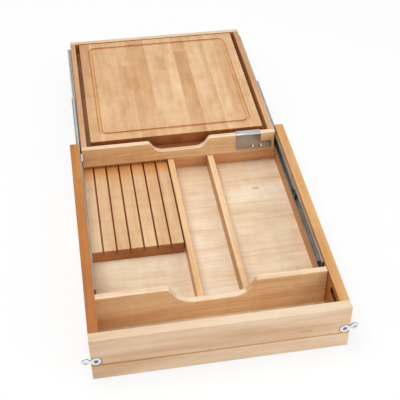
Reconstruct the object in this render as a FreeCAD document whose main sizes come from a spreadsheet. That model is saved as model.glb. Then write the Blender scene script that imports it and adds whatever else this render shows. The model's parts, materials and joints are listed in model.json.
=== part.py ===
import FreeCAD, Part
import os
from math import atan2, cos, pi, sin
from types import SimpleNamespace

import Sketcher
from FreeCAD import Vector

# Knife and cutting board drawer.
# The drawer box holds a front trough, three bays and a slotted knife block. Above the bays a tray
# with a cutting board runs on two full-extension ball slides, let into the sides of the box.
# X is to the right, Y runs from the front board to the rear and Z is up. The origin is on the
# bottom edge of the front board, in the middle. The tray is drawn at the rear end of its travel.

# Driving dimensions in millimetres
SIZES = {
    # Drawer box
    "box_width": 470.0,
    "box_length": 559.0,
    "box_height": 101.6,
    "side_thickness": 19.0,
    "front_thickness": 19.0,
    "back_thickness": 15.0,
    "back_rabbet": 6.0,
    "edge_easing": 1.0,
    "face_groove_height": 36.5,
    "face_groove_width": 3.5,
    "face_groove_depth": 1.5,
    # Floor panel, let into the boards around it
    "floor_recess": 13.0,
    "floor_thickness": 6.5,
    "floor_tongue": 6.0,
    "panel_end_gap": 0.5,
    # Partition behind the front trough
    "partition_front": 97.0,
    "partition_thickness": 12.7,
    "partition_scoop_depth": 38.1,
    "partition_scoop_half": 81.0,
    "partition_scoop_corner": 33.5,
    "scoop_shoulder": 3.5,
    # Low dividers between the bays
    "divider_thickness": 13.0,
    "block_gap": 2.5,
    "middle_bay": 75.0,
    # Knife block
    "block_length": 270.0,
    "block_drop": 7.7,
    "slat_width": 24.0,
    "slot_width": 3.0,
    "slot_depth": 14.0,
    "slot_count": 6,
    "block_nose": 3.0,
    # Recess in the right side of the trough
    "recess_front": 34.0,
    "recess_length": 40.0,
    "recess_drop": 14.1,
    "recess_height": 20.0,
    "recess_corner": 9.5,
    "recess_depth": 10.0,
    # Ball slides: the section, from the floor of the groove inwards
    "slide_rear_gap": 23.0,
    "slide_height": 35.0,
    "slide_thickness": 12.7,
    "slide_drop": 26.1,
    "slide_front_gap": 20.3,
    "slide_groove_depth": 7.7,
    "slide_groove_slack": 0.5,
    "slide_groove_lead": 6.0,
    "slide_groove_corner": 6.0,
    "slide_sheet": 1.2,
    "bend_inside": 0.4,
    "race_lip": 0.9,
    "outer_reach": 11.0,
    "middle_web": 2.1,
    "middle_reach": 10.4,
    "outer_race_gap": 4.0,
    "inner_race_gap": 3.2,
    "inner_reach": 4.4,
    "ball_clearance": 0.1,
    "outer_ball_place": 6.0,
    "inner_ball_place": 6.6,
    "cage_sheet": 0.6,
    "cage_gap": 0.15,
    "outer_cage_tip": 9.3,
    "inner_cage_tip": 8.6,
    "cage_rest_gap": 3.0,
    "cage_play": 7.75,
    "cage_end": 16.0,
    "ball_window_slack": 0.3,
    "ball_count": 5,
    # Plastic bumpers and stops at the front ends of the slide members
    "bumper_base": 9.0,
    "bumper_arm": 33.0,
    "stop_base": 7.5,
    "stop_arm": 25.0,
    "bumper_chamfer": 1.0,
    "closing_gap": 1.25,
    "arm_clearance": 0.3,
    # Screws through the slide members
    "slide_screw_head": 3.2,
    "slide_screw_shank": 1.6,
    "slide_screw_length": 7.5,
    "slide_screw_inset": 22.0,
    "screw_hole_gap": 0.05,
    # Sliding tray
    "tray_height": 45.6,
    "tray_lift": 1.5,
    "tray_overlap": 25.0,
    "tray_home_gap": 6.3,
    "tray_rear_gap": 1.0,
    "tray_board": 12.0,
    "tray_floor_recess": 13.0,
    "tray_floor_tongue": 5.0,
    "tray_scoop_depth": 24.6,
    "tray_scoop_half": 64.0,
    "tray_scoop_corner": 20.5,
    "tray_shoulder": 3.1,
    # Cutting board
    "board_thickness": 25.0,
    "board_side_gap": 9.0,
    "board_front_gap": 15.5,
    "board_rear_gap": 1.5,
    "board_corner": 3.0,
    "board_easing": 1.5,
    "juice_inset": 25.0,
    "juice_half_width": 5.0,
    "juice_floor_half": 2.5,
    "juice_depth": 4.0,
    "juice_corner": 14.0,
    # Latch plate
    "latch_inset": 31.5,
    "latch_width": 54.0,
    "latch_drop": 39.6,
    "latch_sheet": 2.0,
    "latch_gap": 0.2,
    "latch_bend": 1.5,
    "latch_lip": 8.0,
    "latch_corner": 4.0,
    "tongue_reach": 24.5,
    "tongue_height": 19.0,
    "latch_slot_inset": 9.3,
    "latch_slot_length": 51.2,
    "latch_slot_height": 8.2,
    "latch_slot_width": 3.8,
    "latch_screw_inset": 29.0,
    "latch_screw_spacing": 19.0,
    "latch_screw_head": 3.3,
    "latch_screw_head_height": 1.8,
    "latch_screw_dome": 0.8,
    "latch_screw_shank": 1.6,
    "latch_screw_depth": 6.0,
    # Mortise that takes the latch's tongue when the tray is home
    "mortise_slack": 1.5,
    "mortise_depth": 14.0,
    # Figure-eight fasteners
    "fastener_inset": 9.0,
    "fastener_height": 46.7,
    "fastener_thickness": 2.4,
    "fastener_disc": 9.5,
    "fastener_ring": 8.0,
    "fastener_hole": 3.5,
    "fastener_spacing": 18.0,
    "fastener_neck": 7.0,
    "fastener_tilt": 12.0,
    "pocket_radius": 11.0,
    "pocket_depth": 2.5,
    "fastener_screw_head": 4.3,
    "fastener_screw_shank": 2.0,
    "fastener_screw_cone": 2.3,
    "fastener_screw_length": 15.0,
    "fastener_pivot_gap": 0.08,
}

LEFT = -1
RIGHT = 1
SIDE_NAMES = {LEFT: "left", RIGHT: "right"}

# Screws and balls have flat sides, so that the many small ones stay light
SCREW_SIDES = 12
BALL_SIDES = 8

# Lengths and volumes that differ by less than this count as equal
TOLERANCE = 1e-3


class Size:
    """A length that knows both its number and the sheet formula that gives it."""

    def __init__(self, number, formula):
        self.number = number
        self.formula = formula

    def __add__(self, other):
        other = as_size(other)
        return Size(self.number + other.number, f"({self.formula} + {other.formula})")

    def __sub__(self, other):
        other = as_size(other)
        return Size(self.number - other.number, f"({self.formula} - {other.formula})")

    def __mul__(self, other):
        other = as_size(other)
        return Size(self.number * other.number, f"({self.formula} * {other.formula})")

    def __truediv__(self, other):
        other = as_size(other)
        return Size(self.number / other.number, f"({self.formula} / {other.formula})")

    def __neg__(self):
        return Size(-self.number, f"(0 - {self.formula})")

    def __rmul__(self, other):
        return self * other


def as_size(value):
    """Turns a plain number into a Size."""
    return value if isinstance(value, Size) else Size(float(value), str(value))


def make_sheet(document):
    """Writes the driving dimensions to a spreadsheet and hands back one Size for each."""
    sheet = document.addObject("Spreadsheet::Sheet", "Sizes")
    sizes = SimpleNamespace()
    for row, (alias, number) in enumerate(SIZES.items(), start=1):
        sheet.set(f"A{row}", alias)
        sheet.set(f"B{row}", str(number))
        sheet.setAlias(f"B{row}", alias)
        setattr(sizes, alias, Size(float(number), f"Sizes.{alias}"))
    document.recompute()
    return sizes


doc = FreeCAD.newDocument("KnifeAndBoardDrawer")
s = make_sheet(doc)
ZERO = as_size(0)

# Places shared by several pieces: the drawer box
half_width = s.box_width / 2
inner_half = half_width - s.side_thickness
back_front = s.box_length - s.back_thickness
floor_bottom = s.floor_recess
floor_top = s.floor_recess + s.floor_thickness
tray_bottom = s.box_height - s.tray_height
bay_top = tray_bottom - s.tray_lift
partition_back = s.partition_front + s.partition_thickness
scoop_bottom = s.box_height - s.partition_scoop_depth
block_width = s.slat_width * (s.slot_count + 1) + s.slot_width * s.slot_count
block_front = back_front - s.block_length
block_top = bay_top - s.block_drop
middle_bay_left = block_width - inner_half + s.block_gap + s.divider_thickness
middle_bay_right = middle_bay_left + s.middle_bay
fastener_centre = half_width - s.fastener_inset

# The slides
groove_floor = inner_half + s.slide_groove_depth
slide_centre = s.box_height - s.slide_drop
slide_half = s.slide_height / 2
slide_front = partition_back + s.slide_front_gap
outer_rear = s.box_length - s.slide_rear_gap
slide_length = outer_rear - slide_front
middle_half = slide_half - s.slide_sheet - s.outer_race_gap
inner_member_half = middle_half - s.slide_sheet - s.inner_race_gap

# The tray's travel and what follows it
tray_front_home = partition_back + s.tray_home_gap
tray_front_rest = s.box_length - s.tray_overlap
tray_travel = tray_front_rest - tray_front_home
middle_front_home = slide_front + s.bumper_base + s.closing_gap
middle_front = middle_front_home + tray_travel / 2
middle_rear = middle_front + slide_length
inner_front = middle_front_home + s.stop_base + s.closing_gap + tray_travel
inner_rear = inner_front + slide_length
outer_screw_places = (slide_front + s.slide_screw_inset * 2, outer_rear - s.slide_screw_inset)
inner_screw_places = (inner_front + s.slide_screw_inset, inner_rear - s.slide_screw_inset)
cage_length = outer_rear - middle_front - s.cage_rest_gap - s.cage_play
ball_row_length = cage_length - s.cage_end * 2

# The tray and the cutting board
tray_half = groove_floor - s.slide_thickness
tray_inner_half = tray_half - s.tray_board
tray_front_back = tray_front_rest + s.tray_board
tray_rear = tray_front_rest - tray_front_home + s.box_length - s.tray_rear_gap
tray_back_front = tray_rear - s.tray_board
tray_floor_bottom = tray_bottom + s.tray_floor_recess
tray_floor_top = tray_floor_bottom + s.floor_thickness
tray_scoop_bottom = s.box_height - s.tray_scoop_depth
board_half = tray_inner_half - s.board_side_gap
board_front = tray_front_back + s.board_front_gap
board_rear = tray_back_front - s.board_rear_gap
board_top = tray_floor_top + s.board_thickness

# The latch
latch_face = tray_front_rest - s.latch_gap - s.latch_sheet
latch_top = s.box_height + s.latch_gap + s.latch_sheet
latch_bottom = s.box_height - s.latch_drop
latch_right = tray_half - s.latch_inset
latch_left = latch_right - s.latch_width
latch_screw_height = latch_bottom + s.latch_slot_height
latch_screw_place = tray_half - s.latch_screw_inset - s.latch_screw_spacing


def span(side, near, far):
    """Orders two distances from the middle plane as a low and a high X on the left or right."""
    return (near, far) if side == RIGHT else (-far, -near)


def new_body(label):
    """Starts a piece under the name of its node."""
    body = doc.addObject("PartDesign::Body", label)
    body.Label = label
    return body


def sketch_on(body, name, plane, station, shift=None):
    """Makes a sketch on an origin plane of the body, moved along the normal to a station."""
    sketch = body.newObject("Sketcher::SketchObject", name)
    planes = {feature.Role: feature for feature in body.Origin.OriginFeatures}
    sketch.AttachmentSupport = [(planes[plane], "")]
    sketch.MapMode = "FlatFace"
    offset = -station if plane == "XZ_Plane" else station
    sketch.setExpression(".AttachmentOffset.Base.z", offset.formula)
    if shift is not None:
        sketch.setExpression(".AttachmentOffset.Base.y", shift.formula)
    return sketch


def direction_to(start, end):
    """Gives the sign of the step from one corner to the next along each sketch axis."""
    across = end[0].number - start[0].number
    up = end[1].number - start[1].number
    if abs(across) > abs(up):
        return (1 if across > 0 else -1, 0)
    return (0, 1 if up > 0 else -1)


def outline_points(corners):
    """Splits rounded corners into the two ends of their arcs. Each point has the arc after it."""
    points = []
    for index, (across, up, radius) in enumerate(corners):
        if radius is None:
            points.append((across, up, None))
            continue
        back = direction_to(corners[index], corners[index - 1])
        ahead = direction_to(corners[index], corners[(index + 1) % len(corners)])
        turns_left = ahead[0] * back[1] - ahead[1] * back[0] > 0
        centre = (across + radius * (back[0] + ahead[0]), up + radius * (back[1] + ahead[1]))
        arc = SimpleNamespace(centre=centre, radius=radius, turns_left=turns_left)
        points.append((across + radius * back[0], up + radius * back[1], arc))
        points.append((across + radius * ahead[0], up + radius * ahead[1], None))
    return points


def arc_between(start, end, arc):
    """Makes the arc that rounds a corner, which always runs anticlockwise."""
    centre = Vector(arc.centre[0].number, arc.centre[1].number, 0)
    ends = (start, end) if arc.turns_left else (end, start)
    middle = (ends[0] - centre) + (ends[1] - centre)
    middle = centre + middle.normalize() * arc.radius.number
    return Part.Arc(ends[0], middle, ends[1])


def bind(sketch, kind, *ends, size):
    """Adds a dimension to a sketch and ties it to the sheet."""
    index = sketch.addConstraint(Sketcher.Constraint(kind, *ends, size.number))
    name = f"{kind.lower()}_{index}"
    sketch.renameConstraint(index, name)
    sketch.setExpression(f"Constraints.{name}", size.formula)


def draw_outline(sketch, corners):
    """Draws a closed outline whose corners are square or rounded, each fixed from the origin."""
    points = outline_points(corners)
    first = sketch.GeometryCount
    tails = []
    for index, (across, up, arc) in enumerate(points):
        following = points[(index + 1) % len(points)]
        start = Vector(across.number, up.number, 0)
        end = Vector(following[0].number, following[1].number, 0)
        edge = arc_between(start, end, arc) if arc else Part.LineSegment(start, end)
        sketch.addGeometry(edge, False)
        tails.append(2 if arc and not arc.turns_left else 1)
    for index, (across, up, arc) in enumerate(points):
        after = (index + 1) % len(points)
        head = 3 - tails[index]
        sketch.addConstraint(
            Sketcher.Constraint("Coincident", first + index, head, first + after, tails[after])
        )
        bind(sketch, "DistanceX", -1, 1, first + index, tails[index], size=across)
        bind(sketch, "DistanceY", -1, 1, first + index, tails[index], size=up)
        if arc:
            bind(sketch, "Radius", first + index, size=arc.radius)


def draw_circle(sketch, across, up, radius):
    """Draws a circle whose centre is fixed from the origin."""
    centre = Vector(across.number, up.number, 0)
    index = sketch.addGeometry(Part.Circle(centre, Vector(0, 0, 1), radius.number), False)
    bind(sketch, "DistanceX", -1, 1, index, 3, size=across)
    bind(sketch, "DistanceY", -1, 1, index, 3, size=up)
    bind(sketch, "Radius", index, size=radius)


def draw_ring(sketch, centre, radius, sides):
    """Draws a regular polygon inside a circle, with its first corner straight across."""
    turn = 2 * pi / sides
    corners = [
        Vector(
            centre[0].number + radius.number * cos(turn * index),
            centre[1].number + radius.number * sin(turn * index),
            0,
        )
        for index in range(sides)
    ]
    for index, corner in enumerate(corners):
        following = corners[(index + 1) % sides]
        sketch.addGeometry(Part.LineSegment(corner, following), False)
    for index in range(sides):
        after = (index + 1) % sides
        sketch.addConstraint(Sketcher.Constraint("Coincident", index, 2, after, 1))
        edge = corners[after] - corners[index]
        sketch.addConstraint(Sketcher.Constraint("Angle", index, atan2(edge.y, edge.x)))
    # The ring closes and its edges keep their angles, so all but two of the lengths are tied
    for index in range(sides - 3):
        sketch.addConstraint(Sketcher.Constraint("Equal", index, index + 1))
    bind(sketch, "Distance", 0, size=radius * (2 * sin(turn / 2)))
    bind(sketch, "DistanceX", -1, 1, 0, 1, size=centre[0] + radius)
    bind(sketch, "DistanceY", -1, 1, 0, 1, size=centre[1])


def rectangle(across, up):
    """Gives the four square corners of a rectangle from its two spans."""
    return [
        (across[0], up[0], None),
        (across[1], up[0], None),
        (across[1], up[1], None),
        (across[0], up[1], None),
    ]


def extrude(body, name, kind, sketch, length):
    """Pads a sketch, or cuts a pocket with it, along the sketch's normal."""
    feature = body.newObject(f"PartDesign::{kind}", name)
    feature.Profile = sketch
    feature.setExpression("Length", length.formula)
    feature.Reversed = kind == "Pocket"
    return feature


def extrude_outline(body, name, kind, plane, along, corners):
    """Pads or cuts an outline between two stations along the normal of its plane."""
    station = along[1] if plane == "XZ_Plane" else along[0]
    sketch = sketch_on(body, f"{name}_sketch", plane, station)
    draw_outline(sketch, corners)
    return extrude(body, name, kind, sketch, along[1] - along[0])


def add_block(body, name, x, y, z):
    """Adds a rectangular block given by its three spans."""
    return extrude_outline(body, name, "Pad", "XY_Plane", z, rectangle(x, y))


def cut_block(body, name, x, y, z):
    """Cuts a rectangular recess given by its three spans."""
    return extrude_outline(body, name, "Pocket", "XY_Plane", z, rectangle(x, y))


def flat_sided(body, name, kind, axis, centre, profile, sides):
    """Lofts a screw, ball or hole along X or Y through flat-sided rings of stations and radii."""
    plane = "YZ_Plane" if axis == "X" else "XZ_Plane"
    rings = []
    for station, radius in profile:
        ring = sketch_on(body, f"{name}_ring", plane, station)
        draw_ring(ring, centre, radius, sides)
        rings.append(ring)
    feature = body.newObject(f"PartDesign::{kind}Loft", name)
    feature.Profile = rings[0]
    feature.Sections = rings[1:]
    feature.Ruled = True
    return feature


def mirror(body, name, plane):
    """Mirrors all that a piece holds so far in an origin plane."""
    doc.recompute()
    planes = {feature.Role: feature for feature in body.Origin.OriginFeatures}
    mirrored = body.newObject("PartDesign::Mirrored", name)
    mirrored.MirrorPlane = (planes[plane], [""])
    mirrored.TransformMode = "Whole shape"
    body.Tip = mirrored


def repeat(body, name, features, axis, length, count):
    """Repeats features in a row, from the first to the last over a length."""
    axes = {item.Role: item for item in body.Origin.OriginFeatures}
    pattern = body.newObject("PartDesign::LinearPattern", name)
    pattern.Originals = features
    pattern.Direction = (axes[axis], [""])
    pattern.setExpression("Length", length.formula)
    pattern.setExpression("Occurrences", count.formula)
    body.Tip = pattern
    return pattern


def lies_at(edge, x=None, y=None, z=None):
    """Says whether a whole edge has the given X, Y or Z, where each may be one of several."""
    box = edge.BoundBox
    ranges = ((x, box.XMin, box.XMax), (y, box.YMin, box.YMax), (z, box.ZMin, box.ZMax))
    for wanted, low, high in ranges:
        if wanted is None:
            continue
        misses = [abs(low - value.number) + abs(high - value.number) for value in wanted]
        if min(misses) > TOLERANCE:
            return False
    return True


def dress_edges(body, name, kind, chosen):
    """Adds a fillet or a chamfer on the edges of a piece that a test picks out."""
    doc.recompute()
    base = body.Tip
    edges = enumerate(base.Shape.Edges, start=1)
    picked = [f"Edge{number}" for number, edge in edges if chosen(edge)]
    if not picked:
        raise RuntimeError(f"{body.Label}: no edge for {name}")
    feature = body.newObject(f"PartDesign::{kind}", name)
    feature.Base = (base, picked)
    return feature


def round_edges(body, name, radius, chosen):
    """Rounds the chosen edges of a piece."""
    dress_edges(body, name, "Fillet", chosen).setExpression("Radius", radius.formula)


def bevel_edges(body, name, width, chosen):
    """Bevels the chosen edges of a piece, on both faces by the same width."""
    dress_edges(body, name, "Chamfer", chosen).setExpression("Size", width.formula)


def scooped_outline(half, bottom, top, scoop_half, scoop_bottom, corner, shoulder):
    """Outline of an upright board whose top edge dips in a wide hand scoop."""
    return [
        (-half, bottom, None),
        (half, bottom, None),
        (half, top, None),
        (scoop_half, top, shoulder),
        (scoop_half, scoop_bottom, corner),
        (-scoop_half, scoop_bottom, corner),
        (-scoop_half, top, shoulder),
        (-half, top, None),
    ]


def screw_profile(face, towards, head, cone, shank, length, gap=ZERO):
    """Rings of a countersunk screw, or with a gap added, of the hole that it sits in."""
    return [
        (face, head + gap),
        (face + cone * towards, shank + gap),
        (face + (length + gap) * towards, shank + gap),
    ]


def slide_screws(body, kind, face, towards, places, gap=ZERO):
    """Makes the two screws of a slide member or, with a gap, cuts their holes."""
    length = s.slide_screw_length
    head = s.slide_screw_head
    profile = screw_profile(face, towards, head, s.slide_sheet, s.slide_screw_shank, length, gap)
    centre = (places[0], slide_centre)
    first = flat_sided(body, "screw", kind, "X", centre, profile, SCREW_SIDES)
    repeat(body, "screws", [first], "Y_Axis", places[1] - places[0], as_size(2))


def outer_screws(body, side, kind, gap=ZERO):
    """Screws of an outer member into the drawer's side, or their holes."""
    face = (groove_floor - s.slide_sheet) * side
    slide_screws(body, kind, face, side, outer_screw_places, gap)


def inner_screws(body, side, kind, gap=ZERO):
    """Screws of an inner member into the tray's side, or their holes."""
    face = (tray_half + s.slide_sheet) * side
    slide_screws(body, kind, face, -side, inner_screw_places, gap)


def drawer_front():
    """Front board, with a line cut across its face and a pocket for a fastener at each end."""
    body = new_body("drawer_front")
    wide = (-half_width, half_width)
    add_block(body, "board", wide, (ZERO, s.front_thickness), (ZERO, s.box_height))
    front_edge = {"y": [ZERO], "z": [s.box_height]}
    round_edges(body, "eased_top", s.edge_easing, lambda edge: lies_at(edge, **front_edge))
    tongue_half = inner_half + s.floor_tongue
    groove = (s.front_thickness - s.floor_tongue, s.front_thickness)
    cut_block(body, "floor_groove", (-tongue_half, tongue_half), groove, (floor_bottom, floor_top))
    line_bottom = s.face_groove_height - s.face_groove_width / 2
    line_top = s.face_groove_height + s.face_groove_width / 2
    cut_block(body, "face_line", wide, (ZERO, s.face_groove_depth), (line_bottom, line_top))
    for side, name in SIDE_NAMES.items():
        pocket = sketch_on(body, f"pocket_{name}_sketch", "XZ_Plane", s.pocket_depth)
        draw_circle(pocket, fastener_centre * side, s.fastener_height, s.pocket_radius)
        extrude(body, f"pocket_{name}", "Pocket", pocket, s.pocket_depth)
        centre = (fastener_centre * side, s.fastener_height)
        hole = fastener_screw_profile(s.screw_hole_gap)
        flat_sided(body, f"pilot_{name}", "Subtractive", "Y", centre, hole, SCREW_SIDES)
    return body


def drawer_side(side):
    """Side board, grooved for the floor panel and for the ball slide, rabbeted for the back."""
    body = new_body(f"drawer_{SIDE_NAMES[side]}_side")
    along = (s.front_thickness, s.box_length)
    add_block(body, "board", span(side, inner_half, half_width), along, (ZERO, s.box_height))
    faces = [half_width * side, inner_half * side]
    round_edges(body, "eased_top", s.edge_easing, lambda edge: lies_at(edge, x=faces, z=[s.box_height]))
    tongue = span(side, inner_half, inner_half + s.floor_tongue)
    cut_block(body, "floor_groove", tongue, along, (floor_bottom, floor_top))
    rabbet = span(side, inner_half, inner_half + s.back_rabbet)
    cut_block(body, "back_rabbet", rabbet, (back_front, s.box_length), (floor_top, bay_top))
    groove_half = slide_half + s.slide_groove_slack
    groove_front = slide_front - s.slide_groove_lead
    groove = [
        (groove_front, slide_centre - groove_half, s.slide_groove_corner),
        (s.box_length, slide_centre - groove_half, None),
        (s.box_length, slide_centre + groove_half, None),
        (groove_front, slide_centre + groove_half, s.slide_groove_corner),
    ]
    deep = span(side, inner_half, groove_floor)
    extrude_outline(body, "slide_groove", "Pocket", "YZ_Plane", deep, groove)
    outer_screws(body, side, "Subtractive", s.screw_hole_gap)
    return body


def recess_right_side(body):
    """Cuts the round-ended recess in the trough and the mortise for the latch's tongue."""
    front = s.recess_front
    rear = s.recess_front + s.recess_length
    top = s.box_height - s.recess_drop
    bottom = top - s.recess_height
    corner = s.recess_corner
    oval = [
        (front, bottom, corner),
        (rear, bottom, corner),
        (rear, top, corner),
        (front, top, corner),
    ]
    deep = (inner_half, inner_half + s.recess_depth)
    extrude_outline(body, "trough_recess", "Pocket", "YZ_Plane", deep, oval)
    home = latch_face - tray_travel
    along = (home - s.mortise_slack, home + s.latch_sheet + s.mortise_slack)
    high = (latch_bottom - s.mortise_slack, latch_bottom + s.tongue_height + s.mortise_slack)
    cut_block(body, "latch_mortise", (inner_half, inner_half + s.mortise_depth), along, high)


def drawer_bottom():
    """Floor panel, in grooves at the front and sides and under the back board."""
    body = new_body("drawer_bottom")
    half = inner_half + s.floor_tongue - s.panel_end_gap
    front = s.front_thickness - s.floor_tongue + s.panel_end_gap
    add_block(body, "panel", (-half, half), (front, s.box_length), (floor_bottom, floor_top))
    return body


def drawer_back():
    """Low back board, which the tray passes over."""
    body = new_body("drawer_back")
    half = inner_half + s.back_rabbet
    faces = [back_front, s.box_length]
    add_block(body, "board", (-half, half), (back_front, s.box_length), (floor_top, bay_top))
    round_edges(body, "eased_top", s.edge_easing, lambda edge: lies_at(edge, y=faces, z=[bay_top]))
    return body


def scooped_partition():
    """Cross partition behind the trough, with a wide scoop in its top edge."""
    body = new_body("scooped_partition")
    outline = scooped_outline(
        inner_half,
        floor_top,
        s.box_height,
        s.partition_scoop_half,
        scoop_bottom,
        s.partition_scoop_corner,
        s.scoop_shoulder,
    )
    extrude_outline(body, "board", "Pad", "XZ_Plane", (s.partition_front, partition_back), outline)
    ease_scooped_top(body, [s.partition_front, partition_back], scoop_bottom)
    return body


def ease_scooped_top(body, faces, lowest):
    """Breaks the front and rear edges of a scooped board's top."""
    bevel_edges(
        body,
        "eased_top",
        s.edge_easing,
        lambda edge: lies_at(edge, y=faces) and edge.BoundBox.ZMin > lowest.number - TOLERANCE,
    )


def divider(name, right):
    """Low divider from the partition to the back board."""
    body = new_body(name)
    across = (right - s.divider_thickness, right)
    add_block(body, "strip", across, (partition_back, back_front), (floor_top, bay_top))
    round_edges(body, "eased_top", s.edge_easing, lambda edge: lies_at(edge, x=across, z=[bay_top]))
    return body


def knife_block():
    """Block in the left bay with open slots for knife blades and a rounded front edge."""
    body = new_body("knife_block")
    left = -inner_half
    along = (block_front, back_front)
    add_block(body, "block", (left, left + block_width), along, (floor_top, block_top))
    round_edges(body, "nose", s.block_nose, lambda edge: lies_at(edge, y=[block_front], z=[block_top]))
    first = (left + s.slat_width, left + s.slat_width + s.slot_width)
    slot = cut_block(body, "slot", first, along, (block_top - s.slot_depth, block_top))
    length = (s.slat_width + s.slot_width) * (s.slot_count - 1)
    repeat(body, "slots", [slot], "X_Axis", length, s.slot_count)
    return body


def channel(side, web, tip, half, sheet, lip=None):
    """Section of a bent sheet channel on X and Z, from its web to the tips of its flanges.

    Places are measured from the floor of the side's groove towards the middle of the drawer.
    """
    inwards = 1 if tip.number > web.number else -1
    bend = s.bend_inside
    web_inside = web + sheet * inwards
    upper = [(web, half, bend + sheet)]
    if lip is None:
        upper += [(tip, half, None), (tip, half - sheet, None)]
    else:
        lip_end = half - sheet - lip
        upper += [
            (tip, half, bend + sheet),
            (tip, lip_end, None),
            (tip - sheet * inwards, lip_end, None),
            (tip - sheet * inwards, half - sheet, bend),
        ]
    upper.append((web_inside, half - sheet, bend))
    lower = [(place, -height, radius) for place, height, radius in reversed(upper)]
    return [
        ((groove_floor - place) * side, slide_centre + height, radius)
        for place, height, radius in upper + lower
    ]


def slide_outer(side):
    """Outer member, screwed into the groove of the drawer's side."""
    body = new_body(f"slide_outer_{SIDE_NAMES[side]}")
    section = channel(side, ZERO, s.outer_reach, slide_half, s.slide_sheet, s.race_lip)
    extrude_outline(body, "channel", "Pad", "XZ_Plane", (slide_front, outer_rear), section)
    outer_screws(body, side, "Subtractive", s.screw_hole_gap)
    return body


def slide_middle(side):
    """Middle member, which runs between the outer and the inner member."""
    body = new_body(f"slide_middle_{SIDE_NAMES[side]}")
    section = channel(side, s.middle_web, s.middle_reach, middle_half, s.slide_sheet, s.race_lip)
    extrude_outline(body, "channel", "Pad", "XZ_Plane", (middle_front, middle_rear), section)
    return body


def slide_inner(side):
    """Inner member, screwed to the tray's side with its open face outwards."""
    body = new_body(f"slide_inner_{SIDE_NAMES[side]}")
    section = channel(side, s.slide_thickness, s.inner_reach, inner_member_half, s.slide_sheet)
    extrude_outline(body, "channel", "Pad", "XZ_Plane", (inner_front, inner_rear), section)
    inner_screws(body, side, "Subtractive", s.screw_hole_gap)
    return body


def ball_stages():
    """Sizes of the two stages of balls: between outer and middle, and between middle and inner."""
    outer = SimpleNamespace(
        name="outer",
        web=s.slide_sheet + s.cage_gap,
        tip=s.outer_cage_tip,
        race=middle_half + s.outer_race_gap / 2,
        radius=s.outer_race_gap / 2 - s.ball_clearance,
        place=s.outer_ball_place,
        rear=outer_rear - s.cage_rest_gap,
    )
    inner = SimpleNamespace(
        name="inner",
        web=s.middle_web + s.slide_sheet + s.cage_gap,
        tip=s.inner_cage_tip,
        race=inner_member_half + s.inner_race_gap / 2,
        radius=s.inner_race_gap / 2 - s.ball_clearance,
        place=s.inner_ball_place,
        rear=inner_front + s.cage_rest_gap + cage_length,
    )
    return outer, inner


def ball_row(stage):
    """Station of the first ball in a cage."""
    return stage.rear - cage_length + s.cage_end


def ball_cage(side, stage):
    """Thin bent cage that keeps the balls of one stage apart, with a window for each pair."""
    body = new_body(f"{stage.name}_cage_{SIDE_NAMES[side]}")
    half = stage.race + s.cage_sheet / 2
    bent = channel(side, stage.web, stage.tip, half, s.cage_sheet)
    section = [(across, up, None) for across, up, radius in bent]
    extrude_outline(body, "cage", "Pad", "XZ_Plane", (stage.rear - cage_length, stage.rear), section)
    reach = stage.radius + s.ball_window_slack / 2
    place = groove_floor - stage.place
    first = ball_row(stage)
    across = span(side, place - reach, place + reach)
    high = (slide_centre - half, slide_centre + half)
    window = cut_block(body, "window", across, (first - reach, first + reach), high)
    repeat(body, "windows", [window], "Y_Axis", ball_row_length, s.ball_count)
    return body


def balls(side, stage):
    """Balls of one stage, in an upper and a lower row, drawn about the slide's middle line."""
    body = new_body(f"{stage.name}_balls_{SIDE_NAMES[side]}")
    half_step = pi / BALL_SIDES
    reach = stage.radius * cos(half_step)
    bevel = stage.radius * (cos(half_step) - sin(half_step))
    ends = (ball_row(stage) - reach, ball_row(stage) + reach)
    ring = sketch_on(body, "ball_ring", "XZ_Plane", ends[1])
    centre = ((groove_floor - stage.place) * side, stage.race)
    draw_ring(ring, centre, stage.radius, BALL_SIDES)
    extrude(body, "ball", "Pad", ring, ends[1] - ends[0])
    bevel_edges(body, "ball_ends", bevel, lambda edge: lies_at(edge, y=ends))
    row = repeat(body, "row", [], "Y_Axis", ball_row_length, s.ball_count)
    row.TransformMode = "Whole shape"
    mirror(body, "rows", "XY_Plane")
    body.setExpression("Placement.Base.z", slide_centre.formula)
    return body


def end_plug(label, side, front, base, arm, web, tip, half, core_half):
    """Plastic plug in a member's front end: a base across the channel and an arm in each race."""
    body = new_body(label)
    chamfer = s.bumper_chamfer
    section = [
        (web, half - chamfer, None),
        (web + chamfer, half, None),
        (tip, half, None),
        (tip, -half, None),
        (web + chamfer, -half, None),
        (web, -(half - chamfer), None),
    ]
    outline = [
        ((groove_floor - place) * side, slide_centre + height, None) for place, height, _ in section
    ]
    extrude_outline(body, "base", "Pad", "XZ_Plane", (front, front + base), outline)
    across = span(side, groove_floor - tip, groove_floor - (web + chamfer))
    for name, sign in (("upper", 1), ("lower", -1)):
        heights = (slide_centre + core_half, slide_centre + half)
        if sign < 0:
            heights = (slide_centre - half, slide_centre - core_half)
        add_block(body, f"{name}_arm", across, (front, front + arm), heights)
    return body


def slide_bumper(side):
    """Bumper in the outer member's front end, which the middle member closes against."""
    tip = s.outer_reach - s.slide_sheet - s.bend_inside
    half = slide_half - s.slide_sheet
    core = middle_half + s.arm_clearance
    label = f"slide_bumper_{SIDE_NAMES[side]}"
    front = slide_front
    return end_plug(label, side, front, s.bumper_base, s.bumper_arm, s.slide_sheet, tip, half, core)


def middle_stop(side):
    """Stop in the middle member's front end, which the inner member closes against."""
    web = s.middle_web + s.slide_sheet
    tip = s.middle_reach - s.slide_sheet - s.bend_inside
    half = middle_half - s.slide_sheet
    core = inner_member_half + s.arm_clearance
    label = f"middle_stop_{SIDE_NAMES[side]}"
    return end_plug(label, side, middle_front, s.stop_base, s.stop_arm, web, tip, half, core)


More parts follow.
